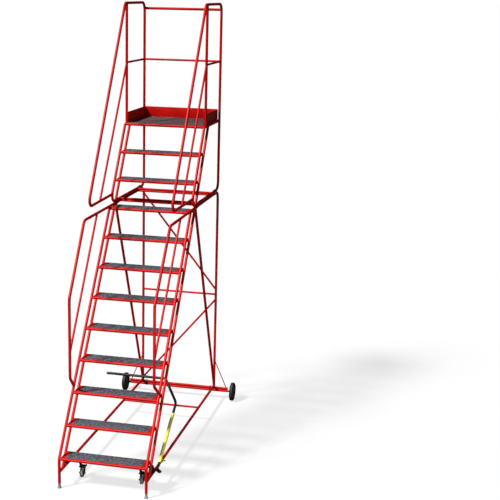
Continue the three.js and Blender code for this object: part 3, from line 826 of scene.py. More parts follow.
# %% [markdown]
# ## Grit by Geometry Nodes
# The treads are faced with coarse grit set in resin. From close by you see separate grains standing
# out of the face, so colour and bump alone would look flat at the edges. The tree scatters points on
# the upward faces of a panel, at least a grain apart, and sets a small four-sided grain on each,
# turned and scaled at random from a fixed seed.

# %% The grit tree
def grit_tree():
    group = bpy.data.node_groups.new("grit", "GeometryNodeTree")
    group_socket(group, "Panel", "NodeSocketGeometry")
    group_socket(group, "Spacing", "NodeSocketFloat", 0.0044)
    group_socket(group, "Grain Size", "NodeSocketFloat", 0.0022)
    group_socket(group, "Seed", "NodeSocketInt", 1)
    group_socket(group, "Facing", "NodeSocketMaterial")
    group.interface.new_socket("Gritted", in_out="OUTPUT", socket_type="NodeSocketGeometry")
    recipe = Recipe(group)
    panel, spacing, grain, seed, facing = given(
        group, recipe, "Panel", "Spacing", "Grain Size", "Seed", "Facing"
    )
    normal = recipe.node("GeometryNodeInputNormal")
    up = recipe.node("ShaderNodeSeparateXYZ", None, {0: normal}, output=2)
    values = {"Mesh": panel, "Selection": up - 0.5, "Distance Min": spacing, "Seed": seed}
    values["Density Max"] = 90000.0
    points = recipe.node("GeometryNodeDistributePointsOnFaces", {"distribute_method": "POISSON"}, values)
    values = {"Radius Top": grain * 0.35, "Radius Bottom": grain, "Depth": grain * 0.8}
    stone = recipe.node("GeometryNodeMeshCone", None, {"Vertices": 4, "Side Segments": 1, **values})
    turn = recipe.node(
        "FunctionNodeRandomValue", {"data_type": "FLOAT_VECTOR"},
        {0: (-0.35, -0.35, 0.0), 1: (0.35, 0.35, 6.28), "Seed": 7},
    )
    size = recipe.node(
        "FunctionNodeRandomValue", {"data_type": "FLOAT"}, {2: 0.6, 3: 1.15, "Seed": 3}, output=1
    )
    values = {"Points": points, "Instance": stone, "Rotation": turn, "Scale": size}
    grains = recipe.node("GeometryNodeInstanceOnPoints", None, values)
    both = recipe.node("GeometryNodeJoinGeometry", None, {"Geometry": panel})
    group.links.new(grains.socket, both.socket.node.inputs[0])
    real = recipe.node("GeometryNodeRealizeInstances", None, {"Geometry": both})
    done = recipe.node("GeometryNodeSetMaterial", None, {"Geometry": real, "Material": facing})
    outlet = group.nodes.new("NodeGroupOutput")
    group.links.new(done.socket, outlet.inputs["Gritted"])
    return group


grit = grit_tree()
print("grit tree has", len(grit.nodes), "nodes")

# %% Gritted panels
GRAIN = 2.2
PANEL_T = 1.8
PANEL_UP = 0.6


def grit_panel(node, middle, size, seed, facing, spacing):
    """A panel whose middle and plan size are given, faced with grains at least spacing apart."""
    place = Matrix.Translation(middle + Z_WAY * PANEL_UP * MM)
    panel = welded(node + "_grit", block((*size, PANEL_T), place, 0.5))
    values = {"Spacing": spacing * MM, "Grain Size": GRAIN * MM, "Seed": seed, "Facing": facing}
    covered = grown(node + "_grit", panel, grit, values)
    piece(node + "_grit", covered, None, "frame", (), "grit_tread")


print("grains are", GRAIN, "mm across")

# %% [markdown]
# ## Steps
# A step is a round nose tube with a folded tray behind it: a flat top, a lip turned down at the back
# and a flange at each end, welded between the stringers. The grit panel lies in the tray and stops
# short of the ends, where red paint shows.

# %% Steps
TREAD_DEPTH = 172.0
TREAD_LIP = 26.0
SHEET = 3.0
TOP = TUBE_R - 1
GRIT_INSET = 38.0
GRIT_FRONT = 9.0
GRIT_BACK = 7.0
STEP_SPACING = 3.8


def tray_outline():
    """(y, z) points of the folded sheet, from the nose to the back lip."""
    back = TREAD_DEPTH
    corners = [
        (8, TOP, 0.2),
        (8, TOP - SHEET, 0.2),
        (back - SHEET, TOP - SHEET, 0.8),
        (back - SHEET, TOP - TREAD_LIP, 0.4),
        (back, TOP - TREAD_LIP, 0.4),
        (back, TOP, SHEET),
    ]
    return rounded(corners, SHEET, 4)


def flange_outline():
    """(y, z) points of the plate that closes each end of a tray."""
    near, far = TUBE_R - 4, TREAD_DEPTH - 2
    corners = [(near, TOP - SHEET), (far, TOP - SHEET), (far, 4 - TREAD_LIP), (near, -6)]
    return rounded(corners, 2, 3)


def step(number):
    node = f"step_{number:02d}"
    low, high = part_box(node)
    y, z = low.y / MM + CENTRE_Y + TUBE_R, high.z / MM - TOP
    turn = side_plane(0) @ Matrix.Translation(Vector((y, z, 0)) * MM)
    tray = plate(tray_outline(), 2 * INNER_HALF, turn, 0)
    flanges = []
    for end in (-1, 1):
        aside = Matrix.Translation(Vector((0, 0, end * (INNER_HALF - SHEET / 2))) * MM)
        flanges.append(plate(flange_outline(), SHEET, turn @ aside, 0.4))
    nose = Run([at(-HALF_WIDTH, y, z), at(HALF_WIDTH, y, z)])
    nose.meets(0, LOWER_SLOPE).meets(-1, LOWER_SLOPE)
    whole = merged(welded(node, tray, *flanges), tubes(node, [nose]))
    piece(node + "_tray", whole, red_paint, "frame", [node], "red_paint")
    depth = TREAD_DEPTH - GRIT_BACK - GRIT_FRONT
    middle = at(0, y + GRIT_FRONT + depth / 2, z + TOP)
    grit_panel(node, middle, (2 * (INNER_HALF - GRIT_INSET), depth), number, tread_grit, STEP_SPACING)


STEPS = 11
for number in range(1, STEPS + 1):
    step(number)

# %% [markdown]
# ## Platform
# The platform is a bigger step: a bent tube goes round its front and sides, a folded deck sheet lies in
# it, and the same coarse grit covers the sheet. Toe boards stand on the deck on three sides, folded from
# one strip of sheet, so their outline is drawn in plan and raised.

# %% Platform deck
DECK_BACK = REAR_Y - TUBE_R - 0.3
DECK_BEND = 15.0
DECK_SEED = 40
DECK_SPACING = 5.0


def platform():
    node = "platform_deck"
    x, z = HALF_WIDTH, PLATFORM_Z
    corners = [at(-x, DECK_BACK, z), at(-x, PLATFORM_Y, z), at(x, PLATFORM_Y, z), at(x, DECK_BACK, z)]
    rim = tubes(node, [Run(corners, TUBE_R, DECK_BEND)])
    depth = DECK_BACK - PLATFORM_Y
    outline = [
        (8, TOP), (8, TOP - SHEET), (depth - SHEET, TOP - SHEET, 1), (depth - SHEET, TOP - TREAD_LIP),
        (depth, TOP - TREAD_LIP), (depth, TOP, SHEET),
    ]
    turn = side_plane(0) @ Matrix.Translation(Vector((PLATFORM_Y, z, 0)) * MM)
    deck = welded(node, plate(rounded(outline, 0.3, 4), 2 * (HALF_WIDTH - 2), turn, 0))
    piece(node + "_tray", merged(rim, deck), red_paint, "frame", [node], "red_paint")
    first, last = PLATFORM_Y + 11, DECK_BACK - 6
    middle = at(0, (first + last) / 2, z + TOP)
    grit_panel(node, middle, (2 * (INNER_HALF - 6), last - first), DECK_SEED, deck_grit, DECK_SPACING)


platform()
print("deck is", round(DECK_BACK - PLATFORM_Y), "mm deep")

# %% Toe boards
TOE_BOARD_H = 106.0
TOE_BOARD_T = 4.0


def toe_boards():
    front, back, out = GUARD_POST_Y - TUBE_R - CENTRE_Y, DECK_BACK - CENTRE_Y, INNER_HALF
    inner = out - TOE_BOARD_T
    plan = [
        (-out, front), (-inner, front), (-inner, back - TOE_BOARD_T, 6), (inner, back - TOE_BOARD_T, 6),
        (inner, front), (out, front), (out, back, 10), (-out, back, 10),
    ]
    middle = Vector((0, 0, PLATFORM_Z + TUBE_R + 0.3 + TOE_BOARD_H / 2)) * MM
    boards = plate(rounded(plan, 0.3, 5), TOE_BOARD_H, Matrix.Translation(middle), 1.2)
    piece("toe_boards_sheet", welded("toe_boards", boards), red_paint, "frame", ["toe_boards"], "red_paint")


toe_boards()

# %% [markdown]
# ## Fasteners by Geometry Nodes
# Bolts hold the treads' end flanges, the toe boards and the two sections. They are all one shape, so the
# tree makes one hexagon head on its washer and sets it on every point of a small mesh. Each point carries
# the way its bolt faces and the bolt's radius.

# %% The fastener tree
def fastener_tree():
    group = bpy.data.node_groups.new("fasteners", "GeometryNodeTree")
    group_socket(group, "Places", "NodeSocketGeometry")
    group_socket(group, "Washer", "NodeSocketFloat", 1.5)
    group_socket(group, "Metal", "NodeSocketMaterial")
    group.interface.new_socket("Fasteners", in_out="OUTPUT", socket_type="NodeSocketGeometry")
    recipe = Recipe(group)
    places, washer, metal = given(group, recipe, "Places", "Washer", "Metal")
    values = {"Vertices": 6, "Radius": 1.0, "Depth": 1.0}
    head = recipe.node("GeometryNodeMeshCylinder", None, values)
    head = recipe.node("GeometryNodeTransform", None, {"Geometry": head, "Translation": (0, 0, 0.72)})
    values = {"Vertices": 18, "Radius": washer, "Depth": 0.35}
    ring = recipe.node("GeometryNodeMeshCylinder", None, values)
    both = recipe.node("GeometryNodeJoinGeometry", None, {"Geometry": head})
    group.links.new(ring.socket, both.socket.node.inputs[0])
    way = recipe.node("GeometryNodeInputNamedAttribute", {"data_type": "FLOAT_VECTOR"}, {"Name": "way"})
    turn = recipe.node("FunctionNodeAlignRotationToVector", {"axis": "Z"}, {"Vector": way})
    values = {"Points": places, "Instance": both, "Rotation": turn, "Scale": attribute(recipe, "size")}
    bolts = recipe.node("GeometryNodeInstanceOnPoints", None, values)
    real = recipe.node("GeometryNodeRealizeInstances", None, {"Geometry": bolts})
    done = recipe.node("GeometryNodeSetMaterial", None, {"Geometry": real, "Material": metal})
    outlet = group.nodes.new("NodeGroupOutput")
    group.links.new(done.socket, outlet.inputs["Fasteners"])
    return group


bolt_heads = fastener_tree()
print("fastener tree has", len(bolt_heads.nodes), "nodes")


# %% Bolts of the treads and toe boards
BOLT_UP = 82.0


def fasteners(name, rows, metal, body="frame", slot="black_paint"):
    """rows are (place, way it faces, radius in mm)."""
    mesh = bpy.data.meshes.new(name)
    mesh.from_pydata([tuple(row[0]) for row in rows], [], [])
    ways = [number for row in rows for number in row[1]]
    mesh.attributes.new("way", "FLOAT_VECTOR", "POINT").data.foreach_set("vector", ways)
    mesh.attributes.new("size", "FLOAT", "POINT").data.foreach_set("value", [row[2] * MM for row in rows])
    return piece(name, grown(name, mesh, bolt_heads, {"Metal": metal}), None, body, (), slot)


def tread_bolts():
    rows = []
    for number in range(1, STEPS + 1):
        low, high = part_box(f"step_{number:02d}")
        for sign in SIDES.values():
            place = Vector((sign * (INNER_HALF + 0.3) * MM, low.y + 92 * MM, high.z - 17 * MM))
            rows.append((place, X_WAY * sign, 6.5))
    return rows


def toe_board_bolts():
    z = PLATFORM_Z + TUBE_R + 0.3
    inside = INNER_HALF - TOE_BOARD_T
    rows = []
    for sign in SIDES.values():
        for y in (GUARD_POST_Y, (GUARD_POST_Y + DECK_BACK) / 2, DECK_BACK - 40):
            rows.append((at(sign * inside, y, z + BOLT_UP), -X_WAY * sign, 5))
        rows.append((at(sign * 250, DECK_BACK - TOE_BOARD_T, z + BOLT_UP), -Y_WAY, 5))
    return rows


# The tread bolts are real fixings, and their black heads are also painted shade at the ends of the treads,
# between the stringers.
fasteners("tread_bolts", tread_bolts(), black_paint)
fasteners("toe_board_bolts", toe_board_bolts(), zinc, slot="red_paint")
print(len(tread_bolts()) + len(toe_board_bolts()), "bolts")

# %% [markdown]
# ## Where the two sections meet
# The upper section's bottom rails lie on the lower section's top rails. Black clamps go round both tubes
# near each end and a bolt draws each clamp tight. Where a handrail's two lengths meet, a short
# sleeve goes over the joint.

# %% Section clamps
CLAMP_Y = (1690.0, 2490.0)
CLAMP_W = 46.0
CLAMP_T = 3.2


def stadium(radius, spread):
    """The outline round two circles, one above the other."""
    over, under = np.linspace(0, math.pi, 12), np.linspace(math.pi, 2 * math.pi, 12)
    points = [(radius * math.cos(a), spread / 2 + radius * math.sin(a)) for a in over]
    return points + [(radius * math.cos(a), radius * math.sin(a) - spread / 2) for a in under]


def band(outer, inner, width, matrix):
    """A ring of sheet between two outlines with the same number of points."""
    shape = bmesh.new()
    loops = []
    for outline, z in ((outer, -1), (outer, 1), (inner, 1), (inner, -1)):
        loops.append([shape.verts.new((x * MM, y * MM, z * width / 2 * MM)) for x, y in outline])
    for first, second in zip(loops, loops[1:] + loops[:1]):
        for k in range(len(first)):
            n = (k + 1) % len(first)
            shape.faces.new([first[k], first[n], second[n], second[k]])
    shape.transform(matrix)
    bmesh.ops.recalc_face_normals(shape, faces=shape.faces)
    return shape


def section_clamps():
    spread = UPPER_BASE_Z - TOP_RAIL_Z
    middle = (UPPER_BASE_Z + TOP_RAIL_Z) / 2
    shapes, rows = [], []
    for sign in SIDES.values():
        for y in CLAMP_Y:
            here = at(sign * HALF_WIDTH, y, middle)
            turn = Matrix.Translation(here) @ Matrix.Rotation(math.pi / 2, 4, "X")
            outer, inner = stadium(TUBE_R + CLAMP_T, spread), stadium(TUBE_R - 0.5, spread)
            shapes.append(band(outer, inner, CLAMP_W, turn))
            rows.append((here + X_WAY * sign * (TUBE_R + CLAMP_T) * MM, X_WAY * sign, 6))
    piece("section_clamps", welded("section_clamps", *shapes), black_paint, "frame", (), "black_paint")
    fasteners("section_bolts", rows, zinc)


def handrail_sleeves():
    shapes = []
    for sign in SIDES.values():
        for y, z in ((LOWER_JOINT_Y, TOP_RAIL_Z), (GUARD_JOINT_Y, GUARD_Z)):
            profile = ring_profile(TUBE_R - 1, TUBE_R + 1.1, 13, (0.5, 1.0))
            shapes.append(turned(profile, along(at(sign * HALF_WIDTH, y, z), Y_WAY), 32, True))
    piece("handrail_sleeves", welded("handrail_sleeves", *shapes), red_paint, "frame", (), "red_paint")


section_clamps()
handrail_sleeves()
print("section clamps done")

# %% [markdown]
# ## Rear beam and wheels
# Two tubes, one welded on the other, carry the base rails and reach past them to the wheels. The lower
# tube holds the spindle. The wheels are turned shapes: `turned` spins a profile of radii and widths,
# which is how a real tyre mould is cut.

# %% Rear beam
WHEEL_X = 615.0
WHEEL_W = 38.0
AXLE_R = 10.0
STAY_TOP_Z = 455.0
SEAM_Y = 4.5
SEAM_UP = 13.6
SEAM_R = 2.4


def rear_beam():
    node = "rear_beam"
    runs = [Run([at(-BEAM_HALF, AXLE_Y, z), at(BEAM_HALF, AXLE_Y, z)]) for z in (AXLE_Z, BEAM_TOP_Z)]
    for sign in SIDES.values():
        ends = [at(sign * HALF_WIDTH, REAR_Y, STAY_TOP_Z), at(sign * (BEAM_HALF - 12), AXLE_Y, BEAM_TOP_Z)]
        runs.append(Run(ends, STAY_R).meets(0, Z_WAY).meets(-1, X_WAY))
    for y in (-SEAM_Y, SEAM_Y):
        seam = [at(x, AXLE_Y + y, AXLE_Z + SEAM_UP) for x in (3 - BEAM_HALF, BEAM_HALF - 3)]
        runs.append(Run(seam, SEAM_R))
    piece(node + "_tubes", tubes(node, runs), None, "frame", [node], "red_paint")
    reach = WHEEL_X + WHEEL_W / 2 + 12
    spindle = [
        (0, -reach), (17, -reach), (18, 1 - reach), (18, 6 - reach), (AXLE_R, 6 - reach),
        (AXLE_R, reach - 6), (18, reach - 6), (18, reach - 1), (17, reach), (0, reach),
    ]
    bar = turned(spindle, along(at(0, AXLE_Y, AXLE_Z), X_WAY), 32)
    piece("rear_spindle", welded("rear_spindle", bar), black_paint, "frame", (), "black_paint")


COLLAR_T = 3.4
COLLAR_W = 22.0


def beam_fittings():
    caps, collars = [], []
    for sign in SIDES.values():
        for z, bore in ((AXLE_Z, AXLE_R - 1), (BEAM_TOP_Z, 0)):
            profile = [(bore, -6), (TUBE_R - 2, -6), (TUBE_R, 0)]
            profile += [(TUBE_R, 1.5), (TUBE_R - 2.5, 3.5), (bore, 4)]
            caps.append(turned(profile, along(at(sign * BEAM_HALF, AXLE_Y, z), X_WAY * sign), 28, bore > 0))
        turn = Matrix.Translation(at(sign * (HALF_WIDTH - 42), AXLE_Y, (AXLE_Z + BEAM_TOP_Z) / 2))
        turn = turn @ Matrix((Y_WAY, Z_WAY, X_WAY)).transposed().to_4x4()
        spread = BEAM_TOP_Z - AXLE_Z
        outer, inner = stadium(TUBE_R + COLLAR_T, spread), stadium(TUBE_R - 0.5, spread)
        collars.append(band(outer, inner, COLLAR_W, turn))
    piece("beam_end_caps", welded("beam_end_caps", *caps), foot_rubber, "frame", (), "foot_rubber")
    piece("beam_collars", welded("beam_collars", *collars), black_paint, "frame", (), "black_paint")


rear_beam()
beam_fittings()
print("rear beam done")


# %% Rear wheels
def mirrored(profile):
    """A profile for one half of a wheel, from its middle outwards, made whole."""
    return [(radius, -x) for radius, x in profile[::-1]] + list(profile)


def tyre_profile(radius, half, inner):
    tread = [
        (radius - 1.6, 1.2), (radius - 1.6, 2.6), (radius, 3.6), (radius, 7.4),
        (radius - 1.8, 8.4), (radius - 1.8, 9.8), (radius - 0.2, 10.8),
    ]
    shoulder = [
        (radius - 2.2, half - 4), (radius - 6, half - 0.8), (radius - 11, half),
        (inner + 5, half - 0.5), (inner, half - 4),
    ]
    return mirrored(tread + shoulder)


def spokes(count, start, end, width, thick, centre):
    shapes = []
    out = Matrix.Translation(Vector((0, 0, (start + end) / 2)) * MM)
    for k in range(count):
        turn = Matrix.Translation(centre) @ Matrix.Rotation(2 * math.pi * k / count, 4, "X")
        shapes.append(block((thick, width, end - start), turn @ out, 0.8))
    return shapes


def wheel(name, centre, radius, width, bore, hub, rubber_finish, slot, ribs):
    half = width / 2
    inner = hub + (radius - hub) * 0.55
    turn = along(centre, X_WAY)
    tyre = turned(tyre_profile(radius, half, inner), turn, 72, True)
    piece(name + "_tyre", welded(name + "_tyre", tyre), rubber_finish, name, [name], slot)
    web = half * 0.45
    rim = [
        (inner + 1, half - 3.5), (inner - 3, half - 3), (inner - 5, web), (hub + 2, web),
        (hub, half - 2.5), (hub - 1.5, half - 0.6), (bore + 1, half - 0.6), (bore, half - 1.2),
    ]
    core = turned(mirrored(rim), turn, 48, True)
    bars = spokes(ribs, hub - 1, inner - 4, 4, 2 * (half - 6), centre)
    piece(name + "_hub", welded(name + "_hub", core, *bars), hub_plastic, name, (), slot)


for side, sign in SIDES.items():
    centre = at(sign * WHEEL_X, AXLE_Y, AXLE_Z)
    wheel(f"rear_wheel_{side}", centre, AXLE_Z, WHEEL_W, AXLE_R + 1.3, 24, black_rubber, "tyre", 6)
print("rear wheels done")

# %% [markdown]
# ## Feet
# The front of the stand rests on two rubber feet when the castors are raised. Each is a plug pushed into
# the stringer's end, with a narrow neck and a wide sole.

# %% Feet
FOOT_R = 19.0


def foot(side, sign):
    sole = [(0, 0), (FOOT_R - 1.5, 0), (FOOT_R, 1.5), (FOOT_R, 5.5), (FOOT_R - 1, 7.5)]
    flare = [(16.2, 11), (14, 16), (12.3, 22), (11.2, 28), (11, 33)]
    plug = [(12.5, 35), (12.5, FOOT_H - 7), (0, FOOT_H - 7)]
    turn = Matrix.Translation(at(sign * HALF_WIDTH, 0, 0))
    name = f"foot_{side}"
    pad = welded(name, turned(sole + flare + plug, turn, 40))
    piece(name + "_pad", pad, foot_rubber, "frame", [name], "foot_rubber")


for side, sign in SIDES.items():
    foot(side, sign)
print("feet done")

# %% [markdown]
# ## Pivots, carriage and castors
# A black shaft across the stand carries an arm to each castor. The lever's cam presses the short bar
# between the right arm and the rail, which pushes both castors down. Plates and arms are flat steel,
# so each is an outline with rounded corners, given its thickness and a small bevel.

# %% Pivot brackets
SHAFT_R = 11.0
BRACKET_T = 8.0
LEVER_LIFT = 18.0
CARRIAGE_LIFT = 50.0
LEVER_PIVOT = Vector((222.0, BASE_Z + TUBE_R + LEVER_LIFT))
CARRIAGE_PIVOT = Vector((190.0, BASE_Z + TUBE_R + CARRIAGE_LIFT))


def bracket(side, sign, pivots):
    low, crest = BASE_Z + TUBE_R - 3, SHAFT_R + 6
    first, last = pivots[0], pivots[-1]
    outline = [(first.x - 24, low, 1), (last.x + 24, low, 1)]
    outline += [(p.x + 16, p.y + crest, 9) for p in reversed(pivots)]
    outline += [(first.x - 16, first.y + crest, 12)]
    if len(pivots) > 1:
        outline[2] = (*outline[2][:2], 6)
        outline[3] = (*outline[3][:2], 9)
    shapes = [plate(rounded(outline, 4, 6), BRACKET_T, side_plane(sign * HALF_WIDTH), 0.8)]
    for p in pivots:
        ring = ring_profile(SHAFT_R + 1.6, SHAFT_R + 6, 6)
        shapes.append(turned(ring, along(at(sign * HALF_WIDTH, p.x, p.y), X_WAY), 32, True))
    middle = at(sign * HALF_WIDTH, (first.x + last.x) / 2, low + 1.5)
    foot_bar = block((30, last.x - first.x + 54, 5), Matrix.Translation(middle), 1)
    name = f"pivot_bracket_{side}"
    piece(name + "_plate", welded(name, *shapes, foot_bar), black_paint, "frame", [name], "black_paint")


bracket("left", -1, [CARRIAGE_PIVOT])
bracket("right", 1, [CARRIAGE_PIVOT, LEVER_PIVOT])
print("brackets done")


# %% Castor carriage
CASTOR_X = 288.0
SWIVEL_Y = 298.0
TRAIL = 22.0
CASTOR_R = 41.0
CASTOR_W = 28.0
CASTOR_AXLE_Z = 44.0
CROWN_Z = 88.0
FORK_T = 5.0
PIN_R = 6.0
PLATE_Z = 100.0
PRESS_BAR = Vector((258.0, PLATE_Z + 20))


def carriage():
    y, z = CARRIAGE_PIVOT
    half = HALF_WIDTH + BRACKET_T / 2 + 2
    shaft = ring_profile(0, SHAFT_R, half, (1.5, 1.5))
    shapes = [turned(shaft, along(at(0, y, z), X_WAY), 32)]
    first, last = CASTOR_X, INNER_HALF - 4
    middle, reach = (first + last) / 2, (last - first) / 2
    bar = [(0, -reach), (LIGHT_R, -reach), (LIGHT_R, reach - 1), (LIGHT_R - 1, reach), (0, reach)]
    shapes.append(turned(bar, along(at(middle, *PRESS_BAR), X_WAY), 32))
    arm = [
        (y - 11, z - 4, 3), (PRESS_BAR.x - 22, PLATE_Z + 1, 8), (SWIVEL_Y + 20, PLATE_Z + 1, 1),
        (SWIVEL_Y + 20, PLATE_Z + 8, 2), (PRESS_BAR.x + 12, PLATE_Z + 28, 14), (y + 9, z + 11, 7),
    ]
    for sign in SIDES.values():
        shapes.append(plate(rounded(arm, 2, 5), 8, side_plane(sign * CASTOR_X), 0.8))
        pad = rounded([(-32, -34), (32, -34), (32, 34), (-32, 34)], 8, 5)
        shapes.append(plate(pad, 6, Matrix.Translation(at(sign * CASTOR_X, SWIVEL_Y, PLATE_Z + 3)), 0.8))
        collar = ring_profile(SHAFT_R - 1, SHAFT_R + 4, 9)
        shapes.append(turned(collar, along(at(sign * CASTOR_X, y, z), X_WAY), 32, True))
    body = "castor_carriage"
    piece("castor_carriage_arms", welded(body, *shapes), black_paint, body, [body], "black_paint")
    rows = [
        (at(sign * CASTOR_X + dx, SWIVEL_Y + dy, PLATE_Z + 6.5), Z_WAY, 5)
        for sign in SIDES.values() for dx in (-23, 23) for dy in (-25, 25)
    ]
    fasteners("castor_plate_bolts", rows, zinc, body)


carriage()
print("carriage done")


# %% Castors
def fork(side, sign):
    name = f"castor_fork_{side}"
    x, inside = sign * CASTOR_X, CASTOR_W / 2 + 2
    top, axle_z = CROWN_Z + FORK_T, CASTOR_AXLE_Z
    leg = [
        (18, top, 2), (18, CROWN_Z - 6, 5), (12 - TRAIL, axle_z - 11, 9),
        (-12 - TRAIL, axle_z - 11, 9), (-14 - TRAIL, axle_z + 14, 12), (-18, top, 2),
    ]
    leg = [(SWIVEL_Y + y, z, r) for y, z, r in leg]
    out = inside + FORK_T
    planes = [side_plane(x + s * (inside + FORK_T / 2)) for s in (-1, 1)]
    shapes = [plate(rounded(leg, 4, 6), FORK_T, plane, 1.0) for plane in planes]
    crown = rounded([(-out, -18), (out, -18), (out, 18), (-out, 18)], 4, 5)
    shapes.append(plate(crown, FORK_T, Matrix.Translation(at(x, SWIVEL_Y, CROWN_Z + FORK_T / 2)), 1.2))
    under = PLATE_Z - 0.3
    race = [
        (0, CROWN_Z + 4), (23, CROWN_Z + 4), (24, CROWN_Z + 5.5), (24, CROWN_Z + 6.5), (21, CROWN_Z + 7),
        (21, CROWN_Z + 8), (25, CROWN_Z + 8.5), (25, under - 1), (24, under), (0, under),
    ]
    shapes.append(turned(race, Matrix.Translation(at(x, SWIVEL_Y, 0)), 36))
    piece(name + "_steel", welded(name, *shapes), black_paint, name, [name], "black_paint")
    axle = [(0, -out - 1), (PIN_R, -out - 1), (PIN_R, out + 1), (0, out + 1)]
    pin = turned(axle, along(at(x, SWIVEL_Y - TRAIL, CASTOR_AXLE_Z), X_WAY), 24)
    piece(name + "_pin", welded(name + "_pin", pin), zinc, name, (), "black_paint")
    rows = [(at(x + s * (out + 0.5), SWIVEL_Y - TRAIL, CASTOR_AXLE_Z), X_WAY * s, 7.5) for s in (-1, 1)]
    fasteners(name + "_nuts", rows, zinc, name)


for side, sign in SIDES.items():
    fork(side, sign)
    centre = at(sign * CASTOR_X, SWIVEL_Y - TRAIL, CASTOR_AXLE_Z)
    name = f"castor_wheel_{side}"
    wheel(name, centre, CASTOR_R, CASTOR_W, PIN_R + 1, 12, grey_rubber, "castor_rubber", 5)
print("castors done")

# %% [markdown]
# ## Hand lever
# The lever is a bent tube on a crank plate outside the right base rail. Its cross handle lies within
# reach of somebody who stands at the steps. A yellow sleeve covers the straight, and a yellow clamp on
# the rail stops the lever. The tube comes from the same tree as the frame's tubes.

# %% Crank and cam
LEVER_X = 441.0
LEVER_R = 12.5
CRANK_T = 8.0


def crank(py, pz):
    outline = [
        (py - 20, pz - 4, 12), (py + 4, pz - 22, 12), (py + 92, pz - 76, 8), (py + 112, pz - 52, 10),
        (py + 46, pz - 4, 10), (py + 78, pz + 2, 6), (py + 68, pz + 28, 8), (py - 8, pz + 20, 14),
    ]
    return plate(rounded(outline, 8, 6), CRANK_T, side_plane(LEVER_X), 1.0)


def cam(py, pz):
    nose = PRESS_BAR.y + LIGHT_R + 4
    outline = [
        (py - 12, pz - 12, 6), (py + 24, nose, 5), (PRESS_BAR.x + 2, nose, 4),
        (PRESS_BAR.x + 2, nose + 14, 4), (py + 8, pz + 14, 8), (py - 12, pz + 12, 10),
    ]
    return plate(rounded(outline, 4, 5), 8, side_plane(HALF_WIDTH - TUBE_R - 8), 0.8)


print("crank stands", round(LEVER_X - HALF_WIDTH), "mm outside the rail")


# %% Lever
LEVER_TOE = at(LEVER_X, LEVER_PIVOT.x + 60, LEVER_PIVOT.y + 8)
LEVER_KNEE = at(LEVER_X, LEVER_PIVOT.x + 665, LEVER_PIVOT.y + 404)
HANDLE_YZ = (LEVER_PIVOT.x + 778, LEVER_PIVOT.y + 594)
HANDLE_ENDS = (305.0, -283.0)
LEVER_BENDS = [90, 40]


def hand_lever():
    py, pz = LEVER_PIVOT
    inside, outside = HALF_WIDTH - TUBE_R - 13, LEVER_X + 8
    pin = [
        (0, inside), (SHAFT_R - 1, inside), (SHAFT_R, inside + 1),
        (SHAFT_R, outside - 1), (SHAFT_R - 1, outside), (0, outside),
    ]
    boss = ring_profile(0, 14, 11, (1.5, 1.5))
    handle = [at(HANDLE_ENDS[0], *HANDLE_YZ), at(HANDLE_ENDS[1], *HANDLE_YZ)]
    run = Run([LEVER_TOE, LEVER_KNEE, *handle], LEVER_R, LEVER_BENDS)
    shank = tubes("hand_lever", [run], black_paint)
    peg = LEVER_TOE + (LEVER_KNEE - LEVER_TOE) * 0.96
    head = LEVER_R + 19
    peg_end = [(0, 0), (4.5, 0), (4.5, head), (6, head), (6, head + 2), (5, head + 3), (0, head + 3)]
    cap = [
        (0, -30), (LEVER_R, -30), (LEVER_R + 0.8, -29), (LEVER_R + 0.8, -4),
        (LEVER_R - 0.5, 0), (LEVER_R - 4, 3.2), (4, 5), (0, 5.4),
    ]
    parts = welded(
        "hand_lever_fittings",
        crank(py, pz), cam(py, pz), turned(pin, along(at(0, py, pz), X_WAY), 32),
        turned(boss, along(at(LEVER_X + 1, py + 96, pz - 60), X_WAY), 32),
        turned(peg_end, along(peg, X_WAY), 20), turned(cap, along(handle[1], -X_WAY), 32),
    )
    piece("hand_lever_fittings", parts, black_paint, "lever", ["hand_lever"], "black_paint")
    piece("hand_lever_tube", shank, None, "lever", (), "black_paint")
    rows = [(at(LEVER_X + CRANK_T, py, pz), X_WAY, 8), (at(LEVER_X + 11, py + 96, pz - 60), X_WAY, 7)]
    fasteners("hand_lever_nuts", rows, black_paint, "lever")


hand_lever()
print("lever straight is", round((LEVER_KNEE - LEVER_TOE).length / MM), "mm")


# %% Sleeve and stop clamp
SLEEVE_START = 0.054
SLEEVE_SHARE = 0.763
SLEEVE_R = 15.8
STOP_Y = 500.0


def sleeve():
    straight = LEVER_KNEE - LEVER_TOE
    start, length = LEVER_TOE + straight * SLEEVE_START, straight.length * SLEEVE_SHARE / MM
    bore, full, groove = LEVER_R + 0.3, SLEEVE_R, SLEEVE_R - 0.6
    end = [(full - 1, 0), (full, 1.5), (full, 12), (groove, 13), (groove, 15), (full, 16)]
    rings = end + [(radius, length - height) for radius, height in end[::-1]]
    profile = [(bore, 0.2)] + rings + [(bore, length - 0.2)]
    shape = turned(profile, along(start, straight.normalized()), 40, True)
    node = "lever_sleeve"
    piece(node + "_tube", welded(node, shape), yellow_sleeve, "lever", [node], "yellow_plastic")


def stop_clamp():
    x, y, z = HALF_WIDTH, STOP_Y, BASE_Z
    ring = ring_profile(TUBE_R - 0.5, TUBE_R + 4.5, 7, (0.6, 1.0))
    shapes = [turned(ring, along(at(x, y, z), Y_WAY), 36, True)]
    for near, far in ((16, 38), (-26, -16)):
        shapes.append(block((far - near, 14, 6), Matrix.Translation(at(x + (near + far) / 2, y, z + 4)), 1.5))
    node = "lever_stop"
    piece(node + "_clamp", welded(node, *shapes), yellow_paint, "frame", [node], "yellow_paint")
    fasteners(node + "_bolt", [(at(x + 30, y, z + 0.7), -Z_WAY, 4)], zinc, "frame", "yellow_paint")


sleeve()
stop_clamp()

# %% [markdown]
# ## Floor, light and camera
# The stand is shown on a plain pale floor. One broad light high on the front left gives each tube a
# lit side and a dark side, a small lamp low on the right lifts the lever out of the shade, and the pale
# world fills in a little. The camera stands in front and a little to the right, at the height of the
# guard rail, and looks slightly down.

